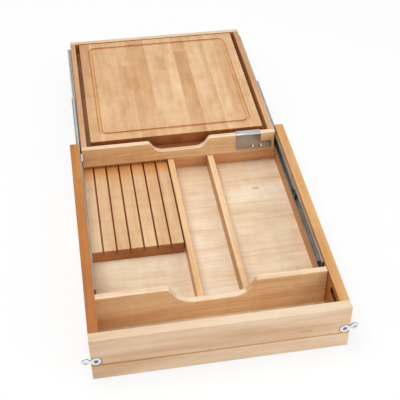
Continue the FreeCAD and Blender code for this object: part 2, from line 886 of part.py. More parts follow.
def screw_set(label, screws):
    """Screws of both slides: two on the right and their mirror images on the left."""
    body = new_body(label)
    screws(body, RIGHT, "Additive")
    mirror(body, "both_sides", "YZ_Plane")
    return body


def tray_groove(body, name, x, y):
    """Cuts the groove that holds the edge of the tray's floor panel."""
    cut_block(body, name, x, y, (tray_floor_bottom, tray_floor_top))


def tray_front():
    """Front board of the tray, scooped in the middle, with holes for the latch's screws."""
    body = new_body("tray_front")
    outline = scooped_outline(
        tray_half,
        tray_bottom,
        s.box_height,
        s.tray_scoop_half,
        tray_scoop_bottom,
        s.tray_scoop_corner,
        s.tray_shoulder,
    )
    thick = (tray_front_rest, tray_front_back)
    extrude_outline(body, "board", "Pad", "XZ_Plane", thick, outline)
    ease_scooped_top(body, list(thick), tray_scoop_bottom)
    half = tray_inner_half + s.tray_floor_tongue
    groove = (tray_front_back - s.tray_floor_tongue, tray_front_back)
    tray_groove(body, "floor_groove", (-half, half), groove)
    radius = s.latch_screw_shank + s.screw_hole_gap
    hole = [(tray_front_rest, radius), (tray_front_rest + s.latch_screw_depth, radius)]
    centre = (latch_screw_place, latch_screw_height)
    pilot = flat_sided(body, "pilot", "Subtractive", "Y", centre, hole, SCREW_SIDES)
    repeat(body, "pilots", [pilot], "X_Axis", s.latch_screw_spacing, as_size(2))
    return body


def tray_back():
    """Back board of the tray."""
    body = new_body("tray_back")
    along = (tray_back_front, tray_rear)
    add_block(body, "board", (-tray_half, tray_half), along, (tray_bottom, s.box_height))
    round_edges(body, "eased_top", s.edge_easing, lambda edge: lies_at(edge, y=along, z=[s.box_height]))
    half = tray_inner_half + s.tray_floor_tongue
    groove = (tray_back_front, tray_back_front + s.tray_floor_tongue)
    tray_groove(body, "floor_groove", (-half, half), groove)
    return body


def tray_side(side):
    """Side board of the tray, which carries the inner member of a slide."""
    body = new_body(f"tray_{SIDE_NAMES[side]}_side")
    along = (tray_front_back, tray_back_front)
    add_block(body, "board", span(side, tray_inner_half, tray_half), along, (tray_bottom, s.box_height))
    faces = [tray_inner_half * side, tray_half * side]
    round_edges(body, "eased_top", s.edge_easing, lambda edge: lies_at(edge, x=faces, z=[s.box_height]))
    tongue = span(side, tray_inner_half, tray_inner_half + s.tray_floor_tongue)
    tray_groove(body, "floor_groove", tongue, along)
    inner_screws(body, side, "Subtractive", s.screw_hole_gap)
    return body


def tray_floor():
    """Floor panel of the tray, in grooves all round."""
    body = new_body("tray_bottom")
    reach = s.tray_floor_tongue - s.panel_end_gap
    half = tray_inner_half + reach
    along = (tray_front_back - reach, tray_back_front + reach)
    add_block(body, "panel", (-half, half), along, (tray_floor_bottom, tray_floor_top))
    return body


def cutting_board():
    """Cutting board with eased edges and a juice groove, lying on the tray's floor."""
    body = new_body("cutting_board")
    corner = s.board_corner
    outline = [
        (-board_half, board_front, corner),
        (board_half, board_front, corner),
        (board_half, board_rear, corner),
        (-board_half, board_rear, corner),
    ]
    extrude_outline(body, "slab", "Pad", "XY_Plane", (tray_floor_top, board_top), outline)
    levels = [tray_floor_top, board_top]
    bevel_edges(body, "eased_edges", s.board_easing, lambda edge: lies_at(edge, z=levels))
    cut_juice_groove(body)
    return body


def cut_juice_groove(body):
    """Sweeps a cutter with a flat nose along a rounded rectangle in the board's top."""
    run_half = board_half - s.juice_inset
    front = board_front + s.juice_inset
    rear = board_rear - s.juice_inset
    middle = (board_front + board_rear) / 2
    corner = s.juice_corner
    path = sketch_on(body, "juice_path", "XY_Plane", board_top)
    draw_outline(
        path,
        [
            (-run_half, middle, None),
            (-run_half, front, corner),
            (run_half, front, corner),
            (run_half, rear, corner),
            (-run_half, rear, corner),
        ],
    )
    cutter = sketch_on(body, "juice_cutter", "XZ_Plane", middle)
    bottom = board_top - s.juice_depth
    section = [
        (-run_half - s.juice_half_width, board_top, None),
        (-run_half - s.juice_floor_half, bottom, None),
        (-run_half + s.juice_floor_half, bottom, None),
        (-run_half + s.juice_half_width, board_top, None),
    ]
    draw_outline(cutter, section)
    groove = body.newObject("PartDesign::SubtractivePipe", "juice_groove")
    groove.Profile = cutter
    groove.Spine = (path, [])


def latch_plate():
    """Sliding latch: a plate folded over the tray's front board, with a slot and a tongue."""
    body = new_body("latch_plate")
    sheet = s.latch_sheet
    lip_rear = tray_front_back + s.latch_gap + sheet
    outside = s.latch_bend + sheet
    section = [
        (latch_face, latch_bottom, None),
        (latch_face + sheet, latch_bottom, None),
        (latch_face + sheet, latch_top - sheet, s.latch_bend),
        (lip_rear - sheet, latch_top - sheet, s.latch_bend),
        (lip_rear - sheet, latch_top - s.latch_lip, None),
        (lip_rear, latch_top - s.latch_lip, None),
        (lip_rear, latch_top, outside),
        (latch_face, latch_top, outside),
    ]
    extrude_outline(body, "folded_plate", "Pad", "YZ_Plane", (latch_left, latch_right), section)
    tongue_end = latch_right + s.tongue_reach
    tongue_top = latch_bottom + s.tongue_height
    thick = (latch_face, latch_face + sheet)
    add_block(body, "tongue", (latch_right, tongue_end), thick, (latch_bottom, tongue_top))
    slot_half = s.latch_slot_width / 2
    slot_corner = slot_half - s.latch_gap
    slot_left = latch_left + s.latch_slot_inset
    slot_right = slot_left + s.latch_slot_length
    slot = [
        (slot_left, latch_screw_height - slot_half, slot_corner),
        (slot_right, latch_screw_height - slot_half, slot_corner),
        (slot_right, latch_screw_height + slot_half, slot_corner),
        (slot_left, latch_screw_height + slot_half, slot_corner),
    ]
    extrude_outline(body, "slot", "Pocket", "XZ_Plane", thick, slot)
    round_edges(
        body,
        "rounded_corners",
        s.latch_corner,
        lambda edge: lies_at(edge, x=[latch_left], z=[latch_bottom])
        or lies_at(edge, x=[tongue_end], z=[latch_bottom, tongue_top]),
    )
    return body


def latch_screws():
    """Two domed screws that hold the latch plate and guide its slot."""
    body = new_body("latch_screws")
    under = latch_face - s.latch_gap
    face = under - s.latch_screw_head_height
    rear = tray_front_rest + s.latch_screw_depth - s.screw_hole_gap
    head = s.latch_screw_head
    dome = s.latch_screw_dome
    shank = s.latch_screw_shank
    centre = (latch_screw_place, latch_screw_height)
    for name, radius, start, end in (("head", head, face, under), ("shank", shank, under, rear)):
        ring = sketch_on(body, f"{name}_ring", "XZ_Plane", end)
        draw_ring(ring, centre, radius, SCREW_SIDES)
        extrude(body, name, "Pad", ring, end - start)
    bevel_edges(body, "dome", dome, lambda edge: lies_at(edge, y=[face]))
    screws = repeat(body, "screws", [], "X_Axis", s.latch_screw_spacing, as_size(2))
    screws.TransformMode = "Whole shape"
    return body


def fastener_screw_profile(gap=ZERO):
    """Rings of a fastener's countersunk screw or, with a gap, of its hole."""
    face = s.pocket_depth - s.fastener_thickness
    head = s.fastener_screw_head
    shank = s.fastener_screw_shank
    length = s.fastener_screw_length
    return screw_profile(face, 1, head, s.fastener_screw_cone, shank, length, gap)


def fastener(side):
    """Figure-eight fastener: a disc on its screw, joined to a ring that reaches past the side."""
    body = new_body(f"fastener_{SIDE_NAMES[side]}")
    thick = (s.pocket_depth - s.fastener_thickness, s.pocket_depth)
    for name, place, radius in (
        ("disc", ZERO, s.fastener_disc),
        ("ring", s.fastener_spacing * side, s.fastener_ring),
    ):
        sketch = sketch_on(body, f"{name}_sketch", "XZ_Plane", thick[1])
        draw_circle(sketch, place, ZERO, radius)
        extrude(body, name, "Pad", sketch, thick[1] - thick[0])
        if name == "disc":
            neck = span(side, ZERO, s.fastener_spacing)
            add_block(body, "neck", neck, thick, (-s.fastener_neck / 2, s.fastener_neck / 2))
    bore = sketch_on(body, "bore_sketch", "XZ_Plane", thick[1])
    draw_circle(bore, s.fastener_spacing * side, ZERO, s.fastener_hole)
    extrude(body, "bore", "Pocket", bore, thick[1] - thick[0])
    hole = (s.fastener_screw_shank + s.fastener_pivot_gap) / cos(pi / SCREW_SIDES)
    ring = sketch_on(body, "hole_ring", "XZ_Plane", thick[1])
    draw_ring(ring, (ZERO, ZERO), hole, SCREW_SIDES)
    extrude(body, "hole", "Pocket", ring, thick[1] - thick[0])
    bevel_edges(
        body,
        "countersink",
        s.fastener_screw_cone,
        lambda edge: lies_at(edge, y=[thick[0]]) and edge.Length < hole.number,
    )
    body.setExpression("Placement.Base.x", (fastener_centre * side).formula)
    body.setExpression("Placement.Base.z", s.fastener_height.formula)
    if side == RIGHT:
        body.Placement.Rotation = FreeCAD.Rotation(Vector(0, -1, 0), s.fastener_tilt.number)
        body.setExpression("Placement.Rotation.Angle", s.fastener_tilt.formula)
    return body


def fastener_screws():
    """Countersunk screws on which the fasteners swing."""
    body = new_body("fastener_screws")
    centre = (fastener_centre, s.fastener_height)
    flat_sided(body, "screw", "Additive", "Y", centre, fastener_screw_profile(), SCREW_SIDES)
    mirror(body, "both_ends", "YZ_Plane")
    return body


def build():
    """Makes every piece and lists them by node."""
    right_side = drawer_side(RIGHT)
    recess_right_side(right_side)
    pieces = [drawer_front(), drawer_side(LEFT), right_side, drawer_bottom(), drawer_back()]
    pieces += [
        scooped_partition(),
        divider("divider_left", middle_bay_left),
        divider("divider_right", middle_bay_right + s.divider_thickness),
        knife_block(),
    ]
    for side in SIDE_NAMES:
        pieces += [slide_outer(side), slide_middle(side), slide_inner(side)]
        pieces += [slide_bumper(side), middle_stop(side)]
        for stage in ball_stages():
            pieces += [ball_cage(side, stage), balls(side, stage)]
    pieces += [screw_set("outer_slide_screws", outer_screws), screw_set("inner_slide_screws", inner_screws)]
    pieces += [tray_front(), tray_back(), tray_side(LEFT), tray_side(RIGHT), tray_floor()]
    pieces += [cutting_board(), latch_plate(), latch_screws()]
    pieces += [fastener(LEFT), fastener(RIGHT), fastener_screws()]
    return pieces


def check(pieces):
    """Stops if any object failed, any shape is broken or any cut took nothing away."""
    for item in doc.Objects:
        if "Invalid" in item.State or "Error" in item.State:
            raise RuntimeError(f"{item.Label} failed: {item.State}")
        cuts = item.TypeId == "PartDesign::Pocket" or item.TypeId.startswith("PartDesign::Subtractive")
        if cuts and item.Shape.Volume > item.BaseFeature.Shape.Volume - TOLERANCE:
            raise RuntimeError(f"{item.Label} cuts nothing")
    for piece in pieces:
        if piece.Shape.isNull() or not piece.Shape.isValid() or not piece.Shape.Solids:
            raise RuntimeError(f"{piece.Label} has no valid shape")


parts = build()
doc.recompute()
check(parts)
os.makedirs("parts", exist_ok=True)
for part in parts:
    part.Shape.exportStep(f"parts/{part.Label}.step")
    print(f"{part.Label}: {len(part.Shape.Solids)} solid, {part.Shape.Volume / 1000:.1f} cm3")
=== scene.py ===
# %% [markdown]
# # Knife and cutting board drawer
#
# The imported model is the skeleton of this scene. Every board, slide and fastener is already in its
# true place, in metres, with X to the right, Y to the rear and Z up. This lesson dresses it. It gives
# the boards and the metal their finishes, and remodels the pieces whose form needs more care: the
# cutting board, the two scooped boards, the latch plate, the fasteners, the screws and the balls.

# %% Load the fixed frame
import json
import math

import bmesh
import bpy
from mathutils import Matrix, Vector


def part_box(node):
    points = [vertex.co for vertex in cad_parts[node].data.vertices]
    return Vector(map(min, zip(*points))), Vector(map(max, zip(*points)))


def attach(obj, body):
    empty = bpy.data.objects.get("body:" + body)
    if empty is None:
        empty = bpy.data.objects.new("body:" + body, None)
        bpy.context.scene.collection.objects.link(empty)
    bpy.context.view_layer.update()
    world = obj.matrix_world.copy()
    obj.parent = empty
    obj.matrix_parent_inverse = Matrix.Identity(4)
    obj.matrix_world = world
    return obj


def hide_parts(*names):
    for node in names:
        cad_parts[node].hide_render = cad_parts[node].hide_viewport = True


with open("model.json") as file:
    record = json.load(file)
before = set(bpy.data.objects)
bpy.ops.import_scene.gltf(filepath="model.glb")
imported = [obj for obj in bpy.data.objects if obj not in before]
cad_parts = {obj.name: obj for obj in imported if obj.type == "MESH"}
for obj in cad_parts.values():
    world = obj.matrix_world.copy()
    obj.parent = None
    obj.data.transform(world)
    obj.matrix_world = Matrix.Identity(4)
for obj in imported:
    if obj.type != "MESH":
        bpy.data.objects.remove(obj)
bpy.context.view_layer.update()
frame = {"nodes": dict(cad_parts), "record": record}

MM = 0.001
LEFT = -1
RIGHT = 1
SIDES = {"left": LEFT, "right": RIGHT}
nodes = frame["nodes"]

# %% [markdown]
# ## Camera
#
# The photograph looks down on the drawer from the front left, at about 43 degrees. A long lens keeps
# the boards nearly parallel. The small shift puts the drawer in the frame as the photograph has it,
# because the picture was cropped off centre.

# %% Place the camera
FRAME_PIXELS = 400
FOCAL_PIXELS = 910.6
AXIS_PIXEL = (231.6, 229.6)
SENSOR_MM = 36.0
CAMERA_PLACE = (-0.20105, -1.03483, 1.30461)
CAMERA_TURN = (47.184, -1.004, -10.626)
FAR_PLANE = 20.0

camera_data = bpy.data.cameras.new("camera")
camera_data.sensor_width = SENSOR_MM
camera_data.lens = FOCAL_PIXELS / FRAME_PIXELS * SENSOR_MM
camera_data.shift_x = (FRAME_PIXELS / 2 - AXIS_PIXEL[0]) / FRAME_PIXELS
camera_data.shift_y = (AXIS_PIXEL[1] - FRAME_PIXELS / 2) / FRAME_PIXELS
camera_data.clip_end = FAR_PLANE
camera = bpy.data.objects.new("camera", camera_data)
camera.location = CAMERA_PLACE
camera.rotation_euler = [math.radians(angle) for angle in CAMERA_TURN]
bpy.context.scene.collection.objects.link(camera)
bpy.context.scene.camera = camera
print("lens:", round(camera_data.lens, 2), "mm")

# %% [markdown]
# ## Light, floor and background
#
# The drawer was photographed on white paper under broad, soft lamps. A large lamp above and a weaker
# one at the front right give the same gentle shade, a little lighter towards the right. The floor is
# a sheet of pale paper. To stay white without more light, the paper and the world show white to the
# camera and in reflections, and the paper keeps the drawer's soft shadow.

# %% Colours and the view
def linear_light(value):
    """Turns one display value of 0 to 255 into the linear light that the shaders use."""
    value /= 255
    return value / 12.92 if value <= 0.04045 else ((value + 0.055) / 1.055) ** 2.4


def colour(red, green, blue):
    """A shader colour from three display values."""
    return (linear_light(red), linear_light(green), linear_light(blue), 1.0)


bpy.context.scene.view_settings.view_transform = "Standard"
print("view transform:", bpy.context.scene.view_settings.view_transform)

# %% The white surroundings
WORLD_LIGHT = 0.6
WHITE = (1.0, 1.0, 1.0, 1.0)


def white_to_view(tree, lit, white_kind, share):
    """Mixes a lit shader with plain white that only the camera and reflections see."""
    path = tree.nodes.new("ShaderNodeLightPath")
    seen = path.outputs["Is Camera Ray"]
    for ray in ("Is Glossy Ray", "Is Transmission Ray"):
        either = tree.nodes.new("ShaderNodeMath")
        either.operation = "MAXIMUM"
        tree.links.new(seen, either.inputs[0])
        tree.links.new(path.outputs[ray], either.inputs[1])
        seen = either.outputs[0]
    amount = tree.nodes.new("ShaderNodeMath")
    amount.operation = "MULTIPLY"
    amount.inputs[1].default_value = share
    tree.links.new(seen, amount.inputs[0])
    white = tree.nodes.new(white_kind)
    white.inputs["Color"].default_value = WHITE
    white.inputs["Strength"].default_value = 1.0
    mix = tree.nodes.new("ShaderNodeMixShader")
    tree.links.new(amount.outputs[0], mix.inputs["Fac"])
    tree.links.new(lit.outputs[0], mix.inputs[1])
    tree.links.new(white.outputs[0], mix.inputs[2])
    return mix


world = bpy.data.worlds.new("studio")
bpy.context.scene.world = world
world.use_nodes = True
world_tree = world.node_tree
world_light = world_tree.nodes["Background"]
world_light.inputs["Color"].default_value = WHITE
world_light.inputs["Strength"].default_value = WORLD_LIGHT
world_mix = white_to_view(world_tree, world_light, "ShaderNodeBackground", 1.0)
world_tree.links.new(world_mix.outputs[0], world_tree.nodes["World Output"].inputs["Surface"])
print("world light:", WORLD_LIGHT)

# %% The floor
PAPER_SHARE = 0.8
PAPER_COLOUR = (0.9, 0.9, 0.9, 1)
PAPER_SIZE = 12
PAPER_PLACE = (0, 0.5, -0.2 * MM)

bpy.ops.object.select_all(action="DESELECT")
bpy.ops.mesh.primitive_plane_add(size=PAPER_SIZE, location=PAPER_PLACE)
floor = bpy.context.object
floor.name = "floor"
paper = bpy.data.materials.new("white_paper")
paper.use_nodes = True
paper_tree = paper.node_tree
paper_shader = paper_tree.nodes["Principled BSDF"]
paper_shader.inputs["Base Color"].default_value = PAPER_COLOUR
paper_shader.inputs["Roughness"].default_value = 0.9
paper_shader.inputs["Specular IOR Level"].default_value = 0.1
paper_mix = white_to_view(paper_tree, paper_shader, "ShaderNodeEmission", PAPER_SHARE)
paper_tree.links.new(paper_mix.outputs[0], paper_tree.nodes["Material Output"].inputs["Surface"])
floor.data.materials.append(paper)
print("floor:", floor.name)

# %% The lamps
DRAWER_MIDDLE = (0.0, 0.45, 0.05)
KEY_LAMP = {"place": (-0.5, 0.5, 2.4), "size": 1.3, "watts": 31}
FRONT_LAMP = {"place": (1.6, -1.5, 1.3), "size": 1.5, "watts": 17}


def soft_lamp(name, place, size, watts):
    """Adds a square area lamp that faces the middle of the drawer."""
    data = bpy.data.lights.new(name, "AREA")
    data.shape = "SQUARE"
    data.size = size
    data.energy = watts
    lamp = bpy.data.objects.new(name, data)
    lamp.location = place
    aim = Vector(DRAWER_MIDDLE) - Vector(place)
    lamp.rotation_euler = aim.to_track_quat("-Z", "Y").to_euler()
    bpy.context.scene.collection.objects.link(lamp)


soft_lamp("key_lamp", **KEY_LAMP)
soft_lamp("front_lamp", **FRONT_LAMP)

# %% [markdown]
# ## Modelling tools
#
# Every new piece starts from a primitive at its true size and place. A few small helpers keep the
# steps short: one adds the primitive and settles its place into the mesh, one selects points, edges
# or faces by where they are, and one applies a modifier. The rest is done with Blender's own
# operators, as by hand.

# %% Start a piece
def start(name, add, size=(1, 1, 1), **options):
    """Adds a primitive at its size and place, and settles both into its mesh."""
    bpy.ops.object.select_all(action="DESELECT")
    add(**options)
    piece = bpy.context.object
    piece.name = name
    piece.scale = size
    bpy.ops.object.transform_apply(location=True, rotation=True, scale=True)
    return piece


def start_block(name, low, high):
    """Starts a piece as a rectangular block between two corners."""
    middle = [(near + far) / 2 for near, far in zip(low, high)]
    size = [(far - near) / 2 for near, far in zip(low, high)]
    return start(name, bpy.ops.mesh.primitive_cube_add, size, location=middle)


print("a piece starts from a primitive, and a block from two corners")

# %% Select by place
TOUCH = 0.01 * MM


def near(value, wanted):
    """Says whether two lengths are the same, within a hundredth of a millimetre."""
    return abs(value - wanted) < TOUCH


def pick(kind, test, along=None):
    """In edit mode, selects the points, edges or faces whose points all pass a test.

    Edges can also be asked to run along an axis.
    """
    bpy.ops.mesh.select_mode(type=kind)
    bpy.ops.mesh.select_all(action="DESELECT")
    data = bpy.context.object.data
    mesh = bmesh.from_edit_mesh(data)
    items = {"VERT": mesh.verts, "EDGE": mesh.edges, "FACE": mesh.faces}[kind]
    for item in items:
        points = [item] if kind == "VERT" else item.verts
        if along is not None:
            run = points[1].co - points[0].co
            if abs(run["XYZ".index(along)]) < 0.99 * run.length:
                continue
        if all(test(point.co) for point in points):
            item.select_set(True)
    bmesh.update_edit_mesh(data)


print("two lengths count as equal within", TOUCH / MM, "mm")

# %% Apply, cut and smooth
DOUBLES = 0.002 * MM


def make_active(piece):
    """Selects one piece alone."""
    bpy.ops.object.select_all(action="DESELECT")
    piece.select_set(True)
    bpy.context.view_layer.objects.active = piece


def apply_modifier(piece, kind, **settings):
    """Adds a modifier, sets it and applies it."""
    make_active(piece)
    modifier = piece.modifiers.new(kind.lower(), kind)
    for key, value in settings.items():
        setattr(modifier, key, value)
    bpy.ops.object.modifier_apply(modifier=modifier.name)


def cut_away(piece, cutter, operation="DIFFERENCE"):
    """Cuts a piece with another, or joins the two, and removes the other."""
    apply_modifier(piece, "BOOLEAN", operation=operation, solver="EXACT", object=cutter)
    bpy.data.objects.remove(cutter)


def outward_and_smooth(piece, degrees=30):
    """Turns all faces outwards and smooths the shading, except over edges sharper than an angle."""
    make_active(piece)
    bpy.ops.object.mode_set(mode="EDIT")
    bpy.ops.mesh.select_all(action="SELECT")
    bpy.ops.mesh.remove_doubles(threshold=DOUBLES)
    bpy.ops.mesh.normals_make_consistent(inside=False)
    bpy.ops.object.mode_set(mode="OBJECT")
    bpy.ops.object.shade_smooth_by_angle(angle=math.radians(degrees))


print("points merge within", DOUBLES / MM, "mm")

# %% Copy, join and hand over
BODY_OF = {
    node: body
    for body, members in frame["record"]["behaviour"]["bodies"].items()
    for node in members
}


def copies(piece, places):
    """Copies a piece, each with its own mesh, to shifts and turns about Z, and joins them in one."""
    name = piece.name
    made = []
    for shift, turn in places:
        twin = piece.copy()
        twin.data = piece.data.copy()
        twin.location = shift
        twin.rotation_euler = (0, 0, turn)
        bpy.context.scene.collection.objects.link(twin)
        made.append(twin)
    bpy.data.objects.remove(piece)
    bpy.ops.object.select_all(action="DESELECT")
    for twin in made:
        twin.select_set(True)
    bpy.context.view_layer.objects.active = made[0]
    bpy.ops.object.transform_apply(location=True, rotation=True, scale=False)
    bpy.ops.object.join()
    made[0].name = name
    return made[0]


def stands_for(piece, node, material):
    """Lets a new piece take a node's place and body in a finish of its own, and hides the node."""
    piece.data.materials.clear()
    piece.data.materials.append(material)
    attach(piece, BODY_OF[node])
    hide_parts(node)
    print(f"{piece.name}: {len(piece.data.polygons)} faces, rides on {BODY_OF[node]}")


# %% [markdown]
# ## Maple
#
# Every board is pale maple under a satin lacquer. Such a finish has several layers: slow changes of
# tone, the soft lines of the growth rings, a ripple across the grain, short fibres and pores, and a
# thin clear coat. One recipe builds them all from noise that is drawn out along the grain. Each
# board gets its own place in the noise, so that no two show the same figure. Upward faces can have
# a second pair of tones. This is partly the other wood that the edge of a board shows, and partly
# painted light: the tops are painted lighter, and the faces darker as painted shade.

# %% Materials and nodes
def new_material(name):
    """Starts a material and hands back it, its tree and its main shader."""
    material = bpy.data.materials.new(name)
    material.use_nodes = True
    return material, material.node_tree, material.node_tree.nodes["Principled BSDF"]


def add_node(tree, kind, settings=None, **inputs):
    """Adds a node, sets its properties, and sets or links its inputs, named or numbered i0, i1."""
    node = tree.nodes.new(f"ShaderNode{kind}")
    for key, value in (settings or {}).items():
        setattr(node, key, value)
    for key, value in inputs.items():
        numbered = key[0] == "i" and key[1:].isdigit()
        socket = node.inputs[int(key[1:])] if numbered else node.inputs[key]
        if isinstance(value, bpy.types.NodeSocket):
            tree.links.new(value, socket)
        else:
            socket.default_value = value
    return node


def maths(tree, operation, *values):
    """A Math node of one operation."""
    inputs = {f"i{index}": value for index, value in enumerate(values)}
    return add_node(tree, "Math", {"operation": operation}, **inputs).outputs[0]


print("node helpers: new_material, add_node, maths")

# %% Ramps, noise and mixes
def ramp_between(tree, value, low, high):
    """A mask that rises from 0 to 1 while a value goes from low to high."""
    span = {"From Min": low, "From Max": high}
    return add_node(tree, "MapRange", {"clamp": True}, Value=value, **span).outputs[0]


def drawn_out_noise(tree, vector, cells, detail=3.0, roughness=0.55):
    """Noise whose cells are drawn out: the three numbers are cells per metre on each axis."""
    spread = add_node(tree, "VectorMath", {"operation": "MULTIPLY"}, i0=vector, i1=cells)
    settings = {"Scale": 1.0, "Detail": detail, "Roughness": roughness}
    return add_node(tree, "TexNoise", Vector=spread.outputs[0], **settings).outputs["Fac"]


def tones(tree, factor, stops):
    """A colour ramp from a list of places and colours."""
    node = add_node(tree, "ValToRGB", Fac=factor)
    elements = node.color_ramp.elements
    while len(elements) < len(stops):
        elements.new(1.0)
    for element, (place, value) in zip(elements, stops):
        element.position = place
        element.color = value
    return node.outputs["Color"]


def grey(value):
    """A grey of one strength, for ramps that only darken."""
    return (value, value, value, 1)


def mix_colours(tree, kind, amount, first, second):
    """Mixes two colours by one of the Mix node's modes."""
    node = add_node(tree, "Mix", {"data_type": "RGBA", "blend_type": kind, "clamp_result": True})
    for name, value in (("Factor", amount), ("A", first), ("B", second)):
        socket = [item for item in node.inputs if item.name == name and item.enabled][0]
        if isinstance(value, bpy.types.NodeSocket):
            tree.links.new(value, socket)
        else:
            socket.default_value = value
    return [item for item in node.outputs if item.enabled][0]


print("layer helpers: ramp_between, drawn_out_noise, tones, mix_colours")

# %% Where a surface faces and where it lies
def facing(tree, axis):
    """How squarely a surface faces along an axis, from 0 to 1, whichever way."""
    normal = add_node(tree, "TexCoord").outputs["Normal"]
    part = add_node(tree, "SeparateXYZ", Vector=normal).outputs[axis]
    return maths(tree, "ABSOLUTE", part)


def within(tree, place, fade=TOUCH, **limits):
    """A mask that is 1 between the low and high limits for X, Y or Z and fades out past them."""
    parts = add_node(tree, "SeparateXYZ", Vector=place)
    mask = 1.0
    for axis, (low, high) in limits.items():
        above = ramp_between(tree, parts.outputs[axis], low - fade, low)
        below = ramp_between(tree, parts.outputs[axis], high + fade, high)
        mask = maths(tree, "MULTIPLY", maths(tree, "MULTIPLY", above, below), mask)
    return mask


print("place helpers: facing, within")

# %% [markdown]
# ### Grain, rings and glued strips
#
# A saw cuts the rings of a tree at a slant, so a board shows long lines that sway. Noise that is
# drawn out fifty times along the grain looks like them, and adding slow noise to its coordinates
# makes the lines sway. A wave texture would be simpler, but its lines come out too even. The
# cutting board is glued up from strips: cutting the coordinates into strips gives each its own
# part of the noise and its own tone.

# %% Grain and growth rings
GRAIN_TURN = {"X": 0.0, "Y": math.pi / 2}
SWAY_CELLS = (2.5, 8, 8)
SWAY_REACH = 0.05
RING_CELLS = (2.2, 120, 150)


def grain_place(tree, grain, offset):
    """Coordinates in metres whose X runs along the grain, moved to a board's own place."""
    place = add_node(tree, "TexCoord").outputs["Object"]
    turn = (0, 0, GRAIN_TURN[grain])
    return place, add_node(tree, "Mapping", Vector=place, Rotation=turn, Location=offset).outputs[0]


def growth_rings(tree, along):
    """Soft lines along the grain that sway a little, as the rings of a sawn board do."""
    sway = drawn_out_noise(tree, along, SWAY_CELLS, detail=1)
    push = maths(tree, "MULTIPLY", sway, SWAY_REACH)
    shift = add_node(tree, "CombineXYZ", Y=push, Z=push).outputs[0]
    bent = add_node(tree, "VectorMath", {"operation": "ADD"}, i0=along, i1=shift).outputs[0]
    return drawn_out_noise(tree, bent, RING_CELLS, detail=4, roughness=0.62)


print("rings per metre across the grain:", RING_CELLS[1], "and", RING_CELLS[2])

# %% Glued strips
STRIP_WAVE = 0.4
STRIP_SPREAD = 1.7
STRIP_SHARE = 0.75
STRIP_SHIFT = 3.0
SEAM_WIDTH = 0.03
SEAM_TONE = 0.92


def glued_strips(tree, along, width, length, contrast):
    """Cuts the noise into glued strips and shorter lengths, each with its own figure and tone."""
    parts = add_node(tree, "SeparateXYZ", Vector=along)
    across = maths(tree, "DIVIDE", parts.outputs["Y"], width)
    settings = {"W": across, "Scale": STRIP_WAVE, "Detail": 0.0}
    wave = add_node(tree, "TexNoise", {"noise_dimensions": "1D"}, **settings)
    uneven = maths(tree, "MULTIPLY_ADD", wave.outputs["Fac"], STRIP_SPREAD, across)
    strip = maths(tree, "FLOOR", uneven)
    start_place = add_node(tree, "TexWhiteNoise", {"noise_dimensions": "1D"}, W=strip)
    lengthwise = maths(tree, "DIVIDE", parts.outputs["X"], length)
    stepped = maths(tree, "FLOOR", maths(tree, "ADD", lengthwise, start_place.outputs["Value"]))
    key = add_node(tree, "CombineXYZ", X=strip, Y=stepped).outputs[0]
    chance = add_node(tree, "TexWhiteNoise", {"noise_dimensions": "3D"}, Vector=key)
    settings = {"i0": chance.outputs["Color"], "Scale": STRIP_SHIFT}
    shift = add_node(tree, "VectorMath", {"operation": "SCALE"}, **settings)
    moved = add_node(tree, "VectorMath", {"operation": "ADD"}, i0=along, i1=shift.outputs[0])
    strip_share = maths(tree, "MULTIPLY", start_place.outputs["Value"], STRIP_SHARE)
    level = maths(tree, "MULTIPLY_ADD", chance.outputs["Value"], 1 - STRIP_SHARE, strip_share)
    darkest = (1 - contrast * 0.9, 1 - contrast * 1.3, 1 - contrast * 1.9, 1)
    tone = tones(tree, level, [(0.1, darkest), (0.8, grey(1.0))])
    seam = ramp_between(tree, maths(tree, "PINGPONG", uneven, 0.5), 0.0, SEAM_WIDTH)
    seam_tone = tones(tree, seam, [(0.0, grey(SEAM_TONE)), (1.0, grey(1.0))])
    return moved.outputs[0], mix_colours(tree, "MULTIPLY", 1.0, tone, seam_tone)


print("seams are", round(2 * SEAM_WIDTH * 100), "percent of a strip's width")

# %% [markdown]
# ### Layers of colour and gloss
#
# Maple is pale, so its figure is made of layers that only darken. Multiply lays each over the last
# and keeps the tone beneath. Where a face cuts across the grain, the open fibres take up more
# lacquer and look darker. Fibres and pores are far finer than any mesh here, so a shallow bump
# serves for them, and what can be seen as a form stays in the geometry.

# %% What grows in the wood
RING_SHADE = (0.84, 0.74, 0.64, 1)
RING_AMOUNT = 0.45
WAVE_CELLS = (55, 16, 16)
RIPPLE_SHADE = (0.92, 0.86, 0.79, 1)
BLOTCH_CELLS = (14, 34, 34)
FLAME_SHADE = (0.84, 0.72, 0.58, 1)
FIBRE_SHADE = grey(0.88)
FIBRE_AMOUNT = 0.7
PORE_SHADE = (0.62, 0.46, 0.34, 1)
PORE_AMOUNT = 0.4


def darken(tree, body, amount, value, low, high, shade):
    """Multiplies a colour by a shade where a value is low, and leaves it where the value is high."""
    layer = tones(tree, value, [(low, shade), (high, grey(1.0))])
    return mix_colours(tree, "MULTIPLY", amount, body, layer)


def grown_layers(tree, along, body, rings, fibres, pores, amounts):
    """Lays rings, ripple, flame, fibres and pores over the body's colour, in this order."""
    figure, ripple, flame = amounts
    body = darken(tree, body, RING_AMOUNT * figure, rings, 0.36, 0.52, RING_SHADE)
    waves = drawn_out_noise(tree, along, WAVE_CELLS, detail=2)
    body = darken(tree, body, ripple, waves, 0.38, 0.62, RIPPLE_SHADE)
    blotches = drawn_out_noise(tree, along, BLOTCH_CELLS, detail=4, roughness=0.65)
    body = darken(tree, body, flame, blotches, 0.36, 0.56, FLAME_SHADE)
    body = darken(tree, body, FIBRE_AMOUNT, fibres, 0.3, 0.6, FIBRE_SHADE)
    return darken(tree, body, PORE_AMOUNT, pores, 0.27, 0.36, PORE_SHADE)


print("layers: rings", RING_AMOUNT, "fibres", FIBRE_AMOUNT, "pores", PORE_AMOUNT)

